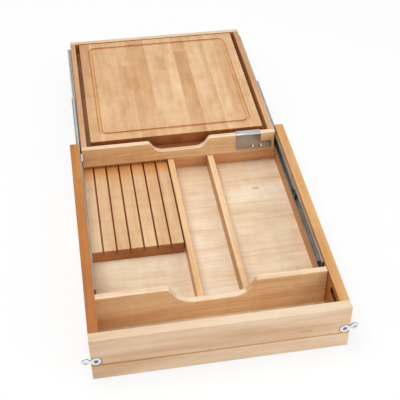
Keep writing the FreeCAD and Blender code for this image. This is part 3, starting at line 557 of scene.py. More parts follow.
# %% What the workshop adds: end grain and lacquer
END_SHADE = (0.80, 0.70, 0.60, 1)
PLAIN_END = (0.4, 0.85)
CURVED_END = (0.9, 0.99)
SPECKLE_CELLS = (700, 700, 700)
LACQUER_ROUGHNESS = {"To Min": 0.5, "To Max": 0.36}
PORE_RELIEF = 0.5
WOOD_RELIEF = {"Strength": 0.12, "Distance": 0.4 * MM}
COAT = {"Coat Weight": 0.12, "Coat Roughness": 0.3, "Specular IOR Level": 0.4}


def end_grain(tree, place, body, grain, curved):
    """Darkens the faces that look along the grain."""
    end_face = ramp_between(tree, facing(tree, grain), *(CURVED_END if curved else PLAIN_END))
    speckle = drawn_out_noise(tree, place, SPECKLE_CELLS, detail=3)
    end_tone = mix_colours(tree, "MULTIPLY", speckle, END_SHADE, END_SHADE)
    return mix_colours(tree, "MULTIPLY", end_face, body, end_tone)


def satin_lacquer(tree, shader, fibres, pores):
    """Gives the shader a satin gloss, a shallow relief of fibres and pores, and a thin coat."""
    gloss = add_node(tree, "MapRange", Value=fibres, **LACQUER_ROUGHNESS)
    tree.links.new(gloss.outputs[0], shader.inputs["Roughness"])
    relief = maths(tree, "MULTIPLY_ADD", pores, PORE_RELIEF, fibres)
    bump = add_node(tree, "Bump", Height=relief, **WOOD_RELIEF)
    tree.links.new(bump.outputs[0], shader.inputs["Normal"])
    for socket, value in COAT.items():
        shader.inputs[socket].default_value = value


print("coat weight:", COAT["Coat Weight"])

# %% The maple recipe
SLOW_CELLS = (2.4, 13, 20)
FIBRE_CELLS = (40, 1500, 1500)
PORE_CELLS = (170, 2100, 2100)
SLOW_SHARE = 0.85
RING_SHARE = 0.3
DARK_LEVEL, DARK_SHIFT = 0.3, 0.1
LIGHT_LEVEL, LIGHT_SHIFT = 0.56, 0.14
FACING_UP = (0.75, 0.95)
FACING_OUT = (0.5, 0.8)


def maple(
    name,
    grain,
    face,
    edge,
    offset,
    figure=1.0,
    ripple=0.4,
    flame=0.3,
    painted_light_lean=0.0,
    strips=None,
    curved=False,
    patches=(),
):
    """Maple with its grain along X or Y. Face and edge are pairs of a light and a dark tone.

    Ripple is the strength of the fine cross-grain shimmer, flame of its broad darker blotches. The
    painted light lean makes the wood paler towards the right, as painted light. The edge tone, which
    upward faces take, is partly painted light, and the face tone partly painted shade. A curved board
    has its edge tone all round its rim, slopes and all. Patches are boxes of the board, as limits on
    X, Y and Z, with the colour that darkens them and the length over which they fade out.
    """
    material, tree, shader = new_material(name)
    place, along = grain_place(tree, grain, offset)
    strip_tone = None
    if strips:
        along, strip_tone = glued_strips(tree, along, *strips)
    slow = drawn_out_noise(tree, along, SLOW_CELLS, detail=2)
    rings = growth_rings(tree, along)
    fibres = drawn_out_noise(tree, along, FIBRE_CELLS, detail=2)
    pores = drawn_out_noise(tree, along, PORE_CELLS, detail=1)
    slow_part = maths(tree, "MULTIPLY", slow, SLOW_SHARE)
    level = maths(tree, "MULTIPLY_ADD", rings, RING_SHARE * figure, slow_part)
    # Painted light: the wood is made paler towards the right, as the light grows towards the right.
    if painted_light_lean:
        rightwards = add_node(tree, "SeparateXYZ", Vector=place).outputs["X"]
        level = maths(tree, "MULTIPLY_ADD", rightwards, painted_light_lean, level)
    stops = (DARK_LEVEL + DARK_SHIFT * figure, LIGHT_LEVEL + LIGHT_SHIFT * figure)
    # Upward faces take the edge tone, which is partly the wood of the edge and partly painted light; the
    # face tone is partly painted shade.
    face_and_shade_tone = tones(tree, level, [(stops[0], face[1]), (stops[1], face[0])])
    edge_and_light_tone = tones(tree, level, [(stops[0], edge[1]), (stops[1], edge[0])])
    rim = ramp_between(tree, facing(tree, "Z"), *FACING_UP)
    if curved:
        rim = maths(tree, "SUBTRACT", 1.0, ramp_between(tree, facing(tree, "Y"), *FACING_OUT))
    body = mix_colours(tree, "MIX", rim, face_and_shade_tone, edge_and_light_tone)
    if strip_tone:
        body = mix_colours(tree, "MULTIPLY", 1.0, body, strip_tone)
    body = grown_layers(tree, along, body, rings, fibres, pores, (figure, ripple, flame))
    body = end_grain(tree, place, body, grain, curved)
    for limits, shade, fade in patches:
        body = mix_colours(tree, "MULTIPLY", within(tree, place, fade, **limits), body, shade)
    tree.links.new(body, shader.inputs["Base Color"])
    satin_lacquer(tree, shader, fibres, pores)
    return material


def dress(node, material):
    """Gives a node of the frame one finish all over."""
    slots = nodes[node].data.materials
    slots.clear()
    slots.append(material)


print("fibres per metre across the grain:", FIBRE_CELLS[1], "pores:", PORE_CELLS[1])

# %% [markdown]
# ## The plain boards
#
# These boards keep the frame's own shape, because a sawn board is already what its drawing says.
# Only their wood differs. The floor panels and the front are pale, the sides have honey-coloured top
# edges, the left one the darkest. What lies in shade, such as the tray's floor and the faces of the
# tray's sides beside the cutting board, is a warmer, darker brown, which is painted shade.

# %% Tones of the boards
PALE = (colour(242, 218, 190), colour(226, 190, 150))
FLOOR = (colour(249, 232, 206), colour(236, 209, 175))
CREAM = (colour(238, 209, 176), colour(208, 166, 124))
RIM = (colour(232, 208, 180), colour(212, 178, 142))
BUTTER = (colour(248, 218, 178), colour(230, 190, 142))
WHEAT = (colour(246, 210, 164), colour(230, 184, 132))
STRAW = (colour(240, 200, 152), colour(222, 172, 118))
WARM = (colour(192, 130, 72), colour(164, 102, 48))
RUSSET = (colour(246, 198, 146), colour(226, 166, 114))
TAN = (colour(222, 176, 122), colour(200, 146, 92))
# BROWN and SHADED are partly painted shade: the faces of the tray's sides and its floor lie in the gaps
# beside the cutting board.
BROWN = (colour(204, 150, 100), colour(176, 120, 72))
HONEY = (colour(224, 178, 118), colour(202, 148, 86))
GOLD = (colour(234, 194, 144), colour(214, 168, 114))
AMBER = (colour(199, 133, 57), colour(171, 106, 38))
ROSE = (colour(214, 166, 122), colour(192, 142, 98))
SHADED = (colour(178, 120, 72), colour(144, 92, 54))
print("lightest tone:", [round(part, 2) for part in FLOOR[0][:3]])

# %% [markdown]
# ### Marks on the boards
#
# A few places differ from the rest of their board: the line across the front, two dark mineral
# streaks, a few areas that are darker, the hollow in the right side and the tray's floor under the
# front of the cutting board. The line and the streaks are grown or cut. The hollow is not modelled:
# its dark patch is painted shade, and the tray's floor there is painted darker as painted shade. A
# box of coordinates with a soft edge marks each one, and the finish darkens it.

# %% Mark the boards
LINE_SHADE = (0.96, 0.86, 0.73, 1)
# The hollow in the right side is not modelled: its dark patch is painted shade.
HOLLOW_PAINTED_SHADE = (0.22, 0.13, 0.09, 1)
FACE_STREAK_SHADE = (0.87, 0.72, 0.58, 1)
FLOOR_STREAK_SHADE = (0.58, 0.37, 0.24, 1)
LEFT_BAY_SHADE = (0.89, 0.87, 0.85, 1)
FRONT_AMBER_SHADE = (0.84, 0.70, 0.50, 1)
# Painted shade: the tray's floor under the front of the cutting board is painted darker.
TRAY_FLOOR_PAINTED_SHADE = (0.58, 0.42, 0.36, 1)
face_line = {"Y": (0.1 * MM, 2 * MM), "Z": (34.4 * MM, 38.6 * MM)}
face_streak = {"X": (139 * MM, 163 * MM), "Y": (-1 * MM, 0.2 * MM), "Z": (53.4 * MM, 55.2 * MM)}
floor_streak = {"X": (147 * MM, 160 * MM), "Y": (446 * MM, 448.4 * MM), "Z": (19 * MM, 21 * MM)}
trough_hollow = {"X": (216.4 * MM, 227 * MM), "Y": (33 * MM, 75 * MM), "Z": (66 * MM, 89 * MM)}

front_patches = [(face_line, LINE_SHADE, 0.6 * MM), (face_streak, FACE_STREAK_SHADE, 1.6 * MM)]
left_bay = {"X": (-216 * MM, -40 * MM), "Y": (100 * MM, 280 * MM)}
floor_patches = [(floor_streak, FLOOR_STREAK_SHADE, 1 * MM), (left_bay, LEFT_BAY_SHADE, 12 * MM)]
left_patches = [({"Y": (-1 * MM, 200 * MM)}, FRONT_AMBER_SHADE, 240 * MM)]
right_patches = [(trough_hollow, HOLLOW_PAINTED_SHADE, 0.1 * MM)]
tray_floor_patches = [({"Y": (500 * MM, 570 * MM)}, TRAY_FLOOR_PAINTED_SHADE, 25 * MM)]
print("marks on the front:", len(front_patches), "and on the floor:", len(floor_patches))

# %% Finish the plain boards
PLAIN_BOARDS = {
    "drawer_front": ("X", CREAM, RIM, (0.3, 0.1, 0.7), 0.45, front_patches),
    "drawer_left_side": ("Y", TAN, AMBER, (1.2, 2.0, 0.1), 1.0, left_patches),
    "drawer_right_side": ("Y", WARM, HONEY, (4.1, 1.3, 0.4), 0.9, right_patches),
    "drawer_bottom": ("X", FLOOR, FLOOR, (2.7, 3.1, 0.3), 0.7, floor_patches),
    "drawer_back": ("X", RUSSET, PALE, (0.9, 4.4, 0.2), 1.3, []),
    "divider_left": ("Y", BROWN, GOLD, (5.2, 0.6, 0.8), 0.9, []),
    "divider_right": ("Y", BROWN, BUTTER, (6.3, 0.2, 0.5), 1.1, []),
    "tray_back": ("X", BROWN, RIM, (7.7, 1.9, 0.6), 0.8, []),
    "tray_left_side": ("Y", BROWN, ROSE, (3.9, 5.2, 0.9), 1.0, []),
    "tray_right_side": ("Y", BROWN, ROSE, (8.4, 2.6, 0.2), 1.0, []),
    "tray_bottom": ("X", SHADED, SHADED, (9.1, 0.4, 0.6), 0.8, tray_floor_patches),
}

# The front's lean is painted light, paler towards the right.
OWN_FIGURE = {
    "drawer_front": {"ripple": 0.25, "flame": 0.15, "painted_light_lean": 0.36},
    "drawer_bottom": {"flame": 0.4},
}
for board, (grain, face, edge, offset, figure, patches) in PLAIN_BOARDS.items():
    own = OWN_FIGURE.get(board, {})
    wood = maple(f"maple_{board}", grain, face, edge, offset, figure, patches=patches, **own)
    dress(board, wood)
print("plain boards:", len(PLAIN_BOARDS))

# %% [markdown]
# ## The knife block
#
# The block is a row of thick maple slats with saw cuts between them. On the real one the cuts look
# dark brown, because hardly any light gets in and a saw leaves their walls rough. The slots are part
# of the frame's solid, and their darker tone is partly painted shade, which reaches a little past
# each slot onto the top. A box on the coordinates picks out each slot, and others the front face,
# which is end grain and partly painted shade, the rear end, which is painted darker and more golden
# as the shade under the tray, and the darker right part.

# %% Mark the slots
SLAT = 24 * MM
SLOT = 3 * MM
SLOT_DEPTH = 14 * MM
SLOT_COUNT = 6
SLOT_LIP = 0.5 * MM
WALL = 0.3 * MM
CRISP = 0.1 * MM
# Painted shade in the slots, reaching a little onto the top beside them.
KERF_PAINTED_SHADE = (0.80, 0.42, 0.26, 1)

block_low, block_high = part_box("knife_block")
block_patches = []
for number in range(SLOT_COUNT):
    slot_left = block_low[0] + SLAT + number * (SLAT + SLOT)
    across = (slot_left - SLOT_LIP, slot_left + SLOT + SLOT_LIP)
    upright = (block_high[2] - SLOT_DEPTH - WALL, block_high[2] + WALL)
    block_patches.append(({"X": across, "Z": upright}, KERF_PAINTED_SHADE, CRISP))
print("slots:", len(block_patches), "each", SLOT / MM, "mm wide")

# %% Finish the knife block
# The front face is end grain, and is also painted darker as painted shade.
NOSE_GRAIN_AND_SHADE = (1.0, 0.90, 0.80, 1)
# Painted shade: the rear end lies under the tray and is painted darker and more golden.
REAR_PAINTED_SHADE = (0.87, 0.63, 0.36, 1)
RIGHT_SHADE = (0.83, 0.75, 0.63, 1)
RIGHT_RUN = 140 * MM
RIGHT_FADE = 40 * MM
REAR_RUN = 18 * MM
REAR_FADE = 36 * MM
SLATS = (colour(246, 219, 186), colour(230, 192, 148))
BLOCK_PLACE = (3.3, 8.2, 0.5)

front_face = {"Y": (block_low[1] - WALL, block_low[1] + WALL), "Z": (block_low[2], block_high[2])}
block_patches.append((front_face, NOSE_GRAIN_AND_SHADE, CRISP))
shaded_rear_end = {"Y": (block_high[1] - REAR_RUN, block_high[1] + WALL)}
block_patches.append((shaded_rear_end, REAR_PAINTED_SHADE, REAR_FADE))
right_slats = {"X": (block_high[0] - RIGHT_RUN, block_high[0] + WALL)}
block_patches.append((right_slats, RIGHT_SHADE, RIGHT_FADE))
slat_maple = maple(
    "maple_knife_block", "Y", TAN, SLATS, BLOCK_PLACE, figure=0.8, ripple=0.6, patches=block_patches
)
dress("knife_block", slat_maple)
print("marks on the block:", len(block_patches))

# %% [markdown]
# ## The scooped boards
#
# The partition and the tray's front dip in the middle, so that a hand can reach in. On the real
# boards the dip is one flowing curve: a round shoulder, a slanted side and a round foot. It could be
# cut with a Boolean, but a few bisects give cleaner faces. The middle cell is taken out, the gap is
# bridged, and the foot is drawn in, which slants the sides. Then the corners are bevelled with their
# true radii, and last the arrises are eased.

# %% Open edges, ready for a bridge
def open_edges(keep=()):
    """Of the selected edges, keeps those with one face, and adds the ones given by their ends."""
    data = bpy.context.object.data
    mesh = bmesh.from_edit_mesh(data)
    ends = []
    for edge in mesh.edges:
        if edge.select and len(edge.link_faces) != 1:
            edge.select_set(False)
    for edge in mesh.edges:
        key = {tuple(point.co) for point in edge.verts}
        if key in keep:
            edge.select_set(True)
        if edge.select:
            ends.append(key)
    bmesh.update_edit_mesh(data)
    return ends


print("open edges belong to one face alone")

# %% Model a scooped board
ARRIS = 1.0 * MM
ARRIS_STEPS = 3
CURVE_STEPS = 10


def scooped_board(name, node, half, foot_half, depth, foot, shoulder):
    """A board with a scoop: its half width above and below, its depth, and its two radii."""
    low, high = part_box(node)
    slant = math.atan2(depth, half - foot_half)
    floor_level = high[2] - depth
    board = start_block(name, low, high)
    bpy.ops.object.mode_set(mode="EDIT")
    for point, normal in (
        ((-half, 0, 0), (1, 0, 0)),
        ((half, 0, 0), (1, 0, 0)),
        ((0, 0, floor_level), (0, 0, 1)),
    ):
        bpy.ops.mesh.select_all(action="SELECT")
        bpy.ops.mesh.bisect(plane_co=point, plane_no=normal)
    rim = lambda at: abs(at.x) < half + WALL and at.z > floor_level - WALL
    pick("FACE", rim)
    bpy.ops.mesh.delete(type="FACE")
    pick("EDGE", lambda at: rim(at) and near(at.y, low[1]))
    front_rim = open_edges()
    pick("EDGE", lambda at: rim(at) and near(at.y, high[1]))
    open_edges(keep=front_rim)
    bpy.ops.mesh.bridge_edge_loops()
    bpy.ops.mesh.select_all(action="SELECT")
    bpy.ops.mesh.dissolve_limited(angle_limit=math.radians(1))
    pick("EDGE", lambda at: near(abs(at.x), half) and near(at.z, floor_level), along="Y")
    bpy.ops.transform.resize(value=(foot_half / half, 1, 1), center_override=(0, 0, 0))
    for level, place, radius in ((floor_level, foot_half, foot), (high[2], half, shoulder)):
        pick("EDGE", lambda at: near(abs(at.x), place) and near(at.z, level), along="Y")
        cut_back = radius * math.tan(slant / 2)
        bpy.ops.mesh.bevel(offset=cut_back, segments=CURVE_STEPS, profile=0.5, affect="EDGES")
    for face in (low[1], high[1]):
        pick("EDGE", lambda at: near(at.y, face) and at.z > floor_level - WALL)
        bpy.ops.mesh.bevel(offset=ARRIS, segments=ARRIS_STEPS, profile=0.5, affect="EDGES")
    bpy.ops.object.mode_set(mode="OBJECT")
    outward_and_smooth(board, 40)
    return board


print("each curve has", CURVE_STEPS, "steps and each arris", ARRIS_STEPS)

# %% The partition and the tray's front
PARTITION_HALF, PARTITION_FOOT, PARTITION_DEPTH = 83 * MM, 62 * MM, 38.1 * MM
TRAY_HALF, TRAY_FOOT, TRAY_DEPTH = 66 * MM, 50 * MM, 24.6 * MM
SHOULDER = 7 * MM

partition = scooped_board(
    "scooped_board_partition",
    "scooped_partition",
    half=PARTITION_HALF,
    foot_half=PARTITION_FOOT,
    depth=PARTITION_DEPTH,
    foot=42 * MM,
    shoulder=SHOULDER,
)
tray_board = scooped_board(
    "scooped_board_tray",
    "tray_front",
    half=TRAY_HALF,
    foot_half=TRAY_FOOT,
    depth=TRAY_DEPTH,
    foot=26 * MM,
    shoulder=SHOULDER,
)
print("scoops:", 2 * PARTITION_HALF / MM, "and", 2 * TRAY_HALF / MM, "mm wide at the top")

# %% [markdown]
# ### The wood of the scoops
#
# Where the curve cuts through the board, its rim takes the paler edge tone, slopes and all, which is
# partly paler wood and partly painted light. The right slope of the partition shows some end grain
# and is painted darker as painted shade, and the gap at its right end is painted dark as painted shade.

# %% Finish the scooped boards
# Painted shade: the gap at the partition's right end is painted dark.
GAP_PAINTED_SHADE = (0.40, 0.25, 0.18, 1)
GAP_RUN = 1.2 * MM
GAP_FADE = 1 * MM
# The right slope shows end grain and is painted darker as painted shade, as it turns away from the light.
SLOPE_GRAIN_AND_SHADE = (0.78, 0.62, 0.44, 1)
SLOPE_FADE = 3 * MM
SLOPE_INSETS = {"shoulder": 4 * MM, "faces": 2 * MM, "floor": 6 * MM, "rim": 5 * MM}
PARTITION_PLACE = (1.7, 6.1, 0.3)
TRAY_PLACE = (2.2, 7.3, 0.8)

partition_low, partition_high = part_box("scooped_partition")
end_gap = {"X": (partition_high[0] - GAP_RUN, partition_high[0] + WALL)}
slope_faces = (partition_low[1] + SLOPE_INSETS["faces"], partition_high[1] - SLOPE_INSETS["faces"])
slope_low = partition_high[2] - PARTITION_DEPTH + SLOPE_INSETS["floor"]
right_slope = {
    "X": (PARTITION_FOOT, PARTITION_HALF - SLOPE_INSETS["shoulder"]),
    "Y": slope_faces,
    "Z": (slope_low, partition_high[2] - SLOPE_INSETS["rim"]),
}
marks = [(end_gap, GAP_PAINTED_SHADE, GAP_FADE), (right_slope, SLOPE_GRAIN_AND_SHADE, SLOPE_FADE)]
partition_maple = maple(
    "maple_partition", "X", WHEAT, PALE, PARTITION_PLACE, figure=1.2, curved=True, patches=marks
)
# The tray front's lean is painted light, paler towards the right.
tray_maple = maple("maple_tray_front", "X", STRAW, PALE, TRAY_PLACE, painted_light_lean=0.3, curved=True)
stands_for(partition, "scooped_partition", partition_maple)
stands_for(tray_board, "tray_front", tray_maple)

# %% [markdown]
# ## The cutting board
#
# The board is a slab of glued maple strips, oiled, with eased edges and a round-bottomed groove that
# catches juice. A core-box cutter makes such a groove in the workshop. Here a rounded rectangle is
# turned into a curve, the curve into a tube of the cutter's radius, and a Boolean takes it out. The
# strips run the board's full length and differ in tone and width, which the finish draws.

# %% Model the cutting board
BOARD_CORNER = 3 * MM
BOARD_EASING = 1.5 * MM
CORNER_STEPS = 5
EASING_STEPS = 4

board_low, board_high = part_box("cutting_board")
slab = start_block("grooved_board", board_low, board_high)
bpy.ops.object.mode_set(mode="EDIT")
pick("EDGE", lambda at: True, along="Z")
bpy.ops.mesh.bevel(offset=BOARD_CORNER, segments=CORNER_STEPS, profile=0.5, affect="EDGES")
for level in (board_low[2], board_high[2]):
    pick("EDGE", lambda at: near(at.z, level))
    bpy.ops.mesh.bevel(offset=BOARD_EASING, segments=EASING_STEPS, profile=0.5, affect="EDGES")
bpy.ops.object.mode_set(mode="OBJECT")
print("board:", [round((high - low) / MM, 1) for low, high in zip(board_low, board_high)], "mm")

# %% Cut its juice groove
JUICE_INSET = 25 * MM
JUICE_CORNER = 14 * MM
CUTTER_RADIUS = 4.9 * MM
CUTTER_LIFT = 1.3 * MM
GROOVE_STEPS = 10
TUBE_STEPS = 6

board_middle = [(low + high) / 2 for low, high in zip(board_low, board_high)]
groove_run = [high - low - 2 * JUICE_INSET for low, high in zip(board_low, board_high)]
groove = start(
    "groove_cutter",
    bpy.ops.mesh.primitive_plane_add,
    size=(groove_run[0] / 2, groove_run[1] / 2, 1),
    location=(board_middle[0], board_middle[1], board_high[2] + CUTTER_LIFT),
)
bpy.ops.object.mode_set(mode="EDIT")
bpy.ops.mesh.select_all(action="SELECT")
bpy.ops.mesh.bevel(offset=JUICE_CORNER, segments=GROOVE_STEPS, affect="VERTICES")
bpy.ops.mesh.select_all(action="SELECT")
bpy.ops.mesh.delete(type="ONLY_FACE")
bpy.ops.object.mode_set(mode="OBJECT")
make_active(groove)
bpy.ops.object.convert(target="CURVE")
groove = bpy.context.object
groove.data.bevel_depth = CUTTER_RADIUS
groove.data.bevel_resolution = TUBE_STEPS
bpy.ops.object.convert(target="MESH")
groove = bpy.context.object
cut_away(slab, groove)
outward_and_smooth(slab, 40)
print("groove: radius", CUTTER_RADIUS / MM, "mm, faces", len(slab.data.polygons))

# %% Finish the cutting board
BOARD_TOP = (colour(235, 200, 159), colour(214, 168, 118))
BOARD_END_SHADE = (0.74, 0.60, 0.50, 1)
# The board's side tone is darker partly as painted shade, for the narrow gaps beside the tray's sides.
BOARD_SIDE = (colour(224, 170, 114), colour(198, 140, 86))
GROOVE_SHADE = (1.0, 0.91, 0.79, 1)
BOARD_PLACE = (6.6, 3.645, 0.1)
STRIP_WIDTH = 36 * MM
STRIP_LENGTH = 3000 * MM
STRIP_CONTRAST = 0.15
GROOVE_BESIDE = 6 * MM
GROOVE_FLOOR, GROOVE_LIP = 5 * MM, 0.7 * MM
GROOVE_FADE = 0.3 * MM
END_RUN, END_FADE = 0.5 * MM, 1 * MM

groove_inset = JUICE_INSET - GROOVE_BESIDE
groove_reach = groove_run[0] / 2 + GROOVE_BESIDE
groove_patch = {
    "X": (-groove_reach, groove_reach),
    "Y": (board_low[1] + groove_inset, board_high[1] - groove_inset),
    "Z": (board_high[2] - GROOVE_FLOOR, board_high[2] - GROOVE_LIP),
}
board_end = {"Y": (board_low[1] - WALL, board_low[1] + END_RUN)}
board_marks = [(groove_patch, GROOVE_SHADE, GROOVE_FADE), (board_end, BOARD_END_SHADE, END_FADE)]
oiled_maple = maple(
    "maple_cutting_board",
    "Y",
    BOARD_SIDE,
    BOARD_TOP,
    BOARD_PLACE,
    figure=0.6,
    ripple=0.5,
    flame=0.7,
    strips=(STRIP_WIDTH, STRIP_LENGTH, STRIP_CONTRAST),
    patches=board_marks,
)
stands_for(slab, "cutting_board", oiled_maple)

# %% [markdown]
# ## Metal and plastic
#
# The slides are zinc-plated strip, rolled along its length, so its fine lines run along Y. The dark
# hollows of its tracks are partly painted shade of the channels. The outer members sit deep in their
# grooves: they are duller, and painted darker as the shade of the grooves. What turns away from the
# light is painted darker as painted shade. The latch plate is brushed nickel, and the fasteners,
# screws and balls are bright, but the fasteners' screws are painted darker as the shade of their
# countersinks. The bumpers and stops are black nylon.

# %% The metal recipe
TRACK_PITCH = 6 * MM
# The dark first stop is painted shade: it darkens the hollows of the tracks as the shade in the slides'
# channels.
TRACK_SHADE_STOPS = [(0.08, (0.26, 0.25, 0.23, 1)), (0.3, grey(0.95)), (0.8, grey(1.0))]
CLOUD_CELLS = (30, 30, 30)
LINE_STOPS = [(0.25, grey(0.84)), (0.65, grey(1.0))]
LINE_AMOUNT = 0.8
TURNED_AWAY = (0.9, 0.4)
SMOOTHER, ROUGHER = 0.06, 0.1
METAL_RELIEF = {"Strength": 0.08, "Distance": 0.2 * MM}


def rolled_tracks(tree, place, pitch):
    """Lines along Y, as the ball tracks rolled into a slide: 0 in their hollows, 1 on their crowns."""
    parts = add_node(tree, "SeparateXYZ", Vector=place)
    across = maths(tree, "ADD", parts.outputs["X"], parts.outputs["Z"])
    return maths(tree, "DIVIDE", maths(tree, "PINGPONG", across, pitch / 2), pitch / 2)


def metal(name, bright, dull, cells, rough, metallic=1.0, away=None, track_pitch=None):
    """Plated metal with fine lines along its rolling or brushing direction, and soft clouds.

    Away is an axis and a painted shade for the surfaces that turn away from it, such as
    the slides' walls, the latch plate's face and the fasteners' rims.
    """
    material, tree, shader = new_material(name)
    place = add_node(tree, "TexCoord").outputs["Object"]
    lines = drawn_out_noise(tree, place, cells)
    clouds = drawn_out_noise(tree, place, CLOUD_CELLS)
    base = tones(tree, clouds, [(0.3, dull), (0.7, bright)])
    streaks = tones(tree, lines, LINE_STOPS)
    base = mix_colours(tree, "MULTIPLY", LINE_AMOUNT, base, streaks)
    if track_pitch:
        # Painted shade: the tracks' hollows are darkened.
        hollow = tones(tree, rolled_tracks(tree, place, track_pitch), TRACK_SHADE_STOPS)
        base = mix_colours(tree, "MULTIPLY", 1.0, base, hollow)
    # Painted shade: surfaces that turn away from the axis are darkened.
    if away:
        turned = ramp_between(tree, facing(tree, away[0]), *TURNED_AWAY)
        base = mix_colours(tree, "MULTIPLY", turned, base, away[1])
    tree.links.new(base, shader.inputs["Base Color"])
    span = {"To Min": rough - SMOOTHER, "To Max": rough + ROUGHER}
    gloss = add_node(tree, "MapRange", Value=lines, **span)
    tree.links.new(gloss.outputs[0], shader.inputs["Roughness"])
    bump = add_node(tree, "Bump", Height=lines, **METAL_RELIEF)
    tree.links.new(bump.outputs[0], shader.inputs["Normal"])
    shader.inputs["Metallic"].default_value = metallic
    return material


print("tracks every", TRACK_PITCH / MM, "mm")

# %% The nylon recipe
SKIN_CELLS = (900, 900, 900)
NYLON_RELIEF = {"Strength": 0.15, "Distance": 0.2 * MM}
NYLON_ROUGHNESS = 0.5


def nylon(name, bright, dull):
    """Moulded nylon with a finely eroded skin."""
    material, tree, shader = new_material(name)
    place = add_node(tree, "TexCoord").outputs["Object"]
    skin = drawn_out_noise(tree, place, SKIN_CELLS)
    tree.links.new(tones(tree, skin, [(0.3, dull), (0.7, bright)]), shader.inputs["Base Color"])
    bump = add_node(tree, "Bump", Height=skin, **NYLON_RELIEF)
    tree.links.new(bump.outputs[0], shader.inputs["Normal"])
    shader.inputs["Roughness"].default_value = NYLON_ROUGHNESS
    return material


black_nylon = nylon("black_nylon", colour(36, 36, 38), colour(20, 20, 21))
print("plastic:", black_nylon.name)

# %% The metals
ALONG_Y = (2500, 12, 2500)
ALONG_X = (14, 2200, 2200)
ALL_WAYS = (400, 400, 400)
# Painted shades for what turns away from the light: the slides' walls, the latch's face, which also takes a
# painted brown reflection of the wood, and the fasteners' rims.
WALL_PAINTED_SHADE = ("Z", (0.55, 0.54, 0.53, 1))
LATCH_FACE_PAINTED_SHADE = ("Z", (0.78, 0.73, 0.69, 1))
RIM_PAINTED_SHADE = ("Y", (0.45, 0.46, 0.48, 1))
# The outer members are duller, and their darker tone is partly painted shade of their grooves.
DULL_AND_SHADED = (colour(192, 182, 167), colour(156, 147, 134))
ROLLED = (colour(208, 206, 201), colour(176, 174, 169))
NICKEL = (colour(198, 198, 200), colour(172, 172, 174))
BRIGHT = (colour(236, 240, 243), colour(212, 218, 223))
STAMPED = (colour(243, 247, 250), colour(220, 227, 232))
# Painted shade: the fasteners' screws are darker, as the shade in their countersinks.
RECESS_SHADED = (colour(158, 164, 170), colour(124, 130, 136))
groove_shaded_zinc = metal("dull_groove_shaded_zinc", *DULL_AND_SHADED, ALONG_Y, rough=0.42, metallic=0.6, track_pitch=TRACK_PITCH)
zinc = metal("rolled_zinc", *ROLLED, ALONG_Y, rough=0.28, away=WALL_PAINTED_SHADE, track_pitch=TRACK_PITCH)
nickel = metal("brushed_nickel", *NICKEL, ALONG_X, rough=0.34, away=LATCH_FACE_PAINTED_SHADE)
bright_zinc = metal("bright_zinc", *BRIGHT, ALL_WAYS, rough=0.2)
stamped_zinc = metal("stamped_zinc", *STAMPED, ALL_WAYS, rough=0.18, away=RIM_PAINTED_SHADE)
recess_shaded_zinc = metal("recess_shaded_zinc", *RECESS_SHADED, ALL_WAYS, rough=0.26)
print("metals:", groove_shaded_zinc.name, zinc.name, nickel.name, bright_zinc.name)

# %% Finish the slides, their bumpers and their stops
slide_finishes = {}
for node in nodes:
    if node.startswith("slide_outer") or node.startswith("outer_cage"):
        slide_finishes[node] = groove_shaded_zinc
    elif node.startswith("slide_") and "bumper" not in node or "_cage_" in node:
        slide_finishes[node] = zinc
    elif "bumper" in node or "stop" in node:
        slide_finishes[node] = black_nylon
for node, finish in slide_finishes.items():
    dress(node, finish)
print("nodes in zinc or nylon:", len(slide_finishes))

# %% [markdown]
# ## The latch plate
#
# The latch is a sheet of nickel-plated steel, folded over the tray's front board. Its face has a slot
# for two screws and ends in a tongue. A sheet part is easiest to model as the folder makes it: a flat
# face is drawn out over the board and down behind it, the folds are rounded, and Solidify gives it
# its thickness.

# %% Fold the latch plate
PLATE_WIDTH = 54 * MM
TONGUE_HEIGHT = 19 * MM
LIP = 8 * MM

latch_low, latch_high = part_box("latch_plate")
plate_right = latch_low[0] + PLATE_WIDTH
tongue_top = latch_low[2] + TONGUE_HEIGHT

plate = start(
    "folded_latch_plate",
    bpy.ops.mesh.primitive_plane_add,
    size=(PLATE_WIDTH / 2, (latch_high[2] - latch_low[2]) / 2, 1),
    rotation=(math.pi / 2, 0, 0),
    location=((latch_low[0] + plate_right) / 2, latch_low[1], (latch_low[2] + latch_high[2]) / 2),
)
bpy.ops.object.mode_set(mode="EDIT")
bpy.ops.mesh.select_all(action="SELECT")
bpy.ops.mesh.bisect(plane_co=(0, 0, tongue_top), plane_no=(0, 0, 1))
pick("EDGE", lambda at: near(at.x, plate_right) and at.z < tongue_top + WALL)
tongue_run = (latch_high[0] - plate_right, 0, 0)
bpy.ops.mesh.extrude_region_move(TRANSFORM_OT_translate={"value": tongue_run})
pick("EDGE", lambda at: near(at.z, latch_high[2]))
over_run = (0, latch_high[1] - latch_low[1], 0)
bpy.ops.mesh.extrude_region_move(TRANSFORM_OT_translate={"value": over_run})
pick("EDGE", lambda at: near(at.z, latch_high[2]) and near(at.y, latch_high[1]))
bpy.ops.mesh.extrude_region_move(TRANSFORM_OT_translate={"value": (0, 0, -LIP)})
bpy.ops.object.mode_set(mode="OBJECT")
print("faces of the folded sheet:", len(plate.data.polygons))

# %% Round its folds and corners
FOLD = 3.5 * MM
LATCH_CORNER = 4 * MM
ROUND_STEPS = 7

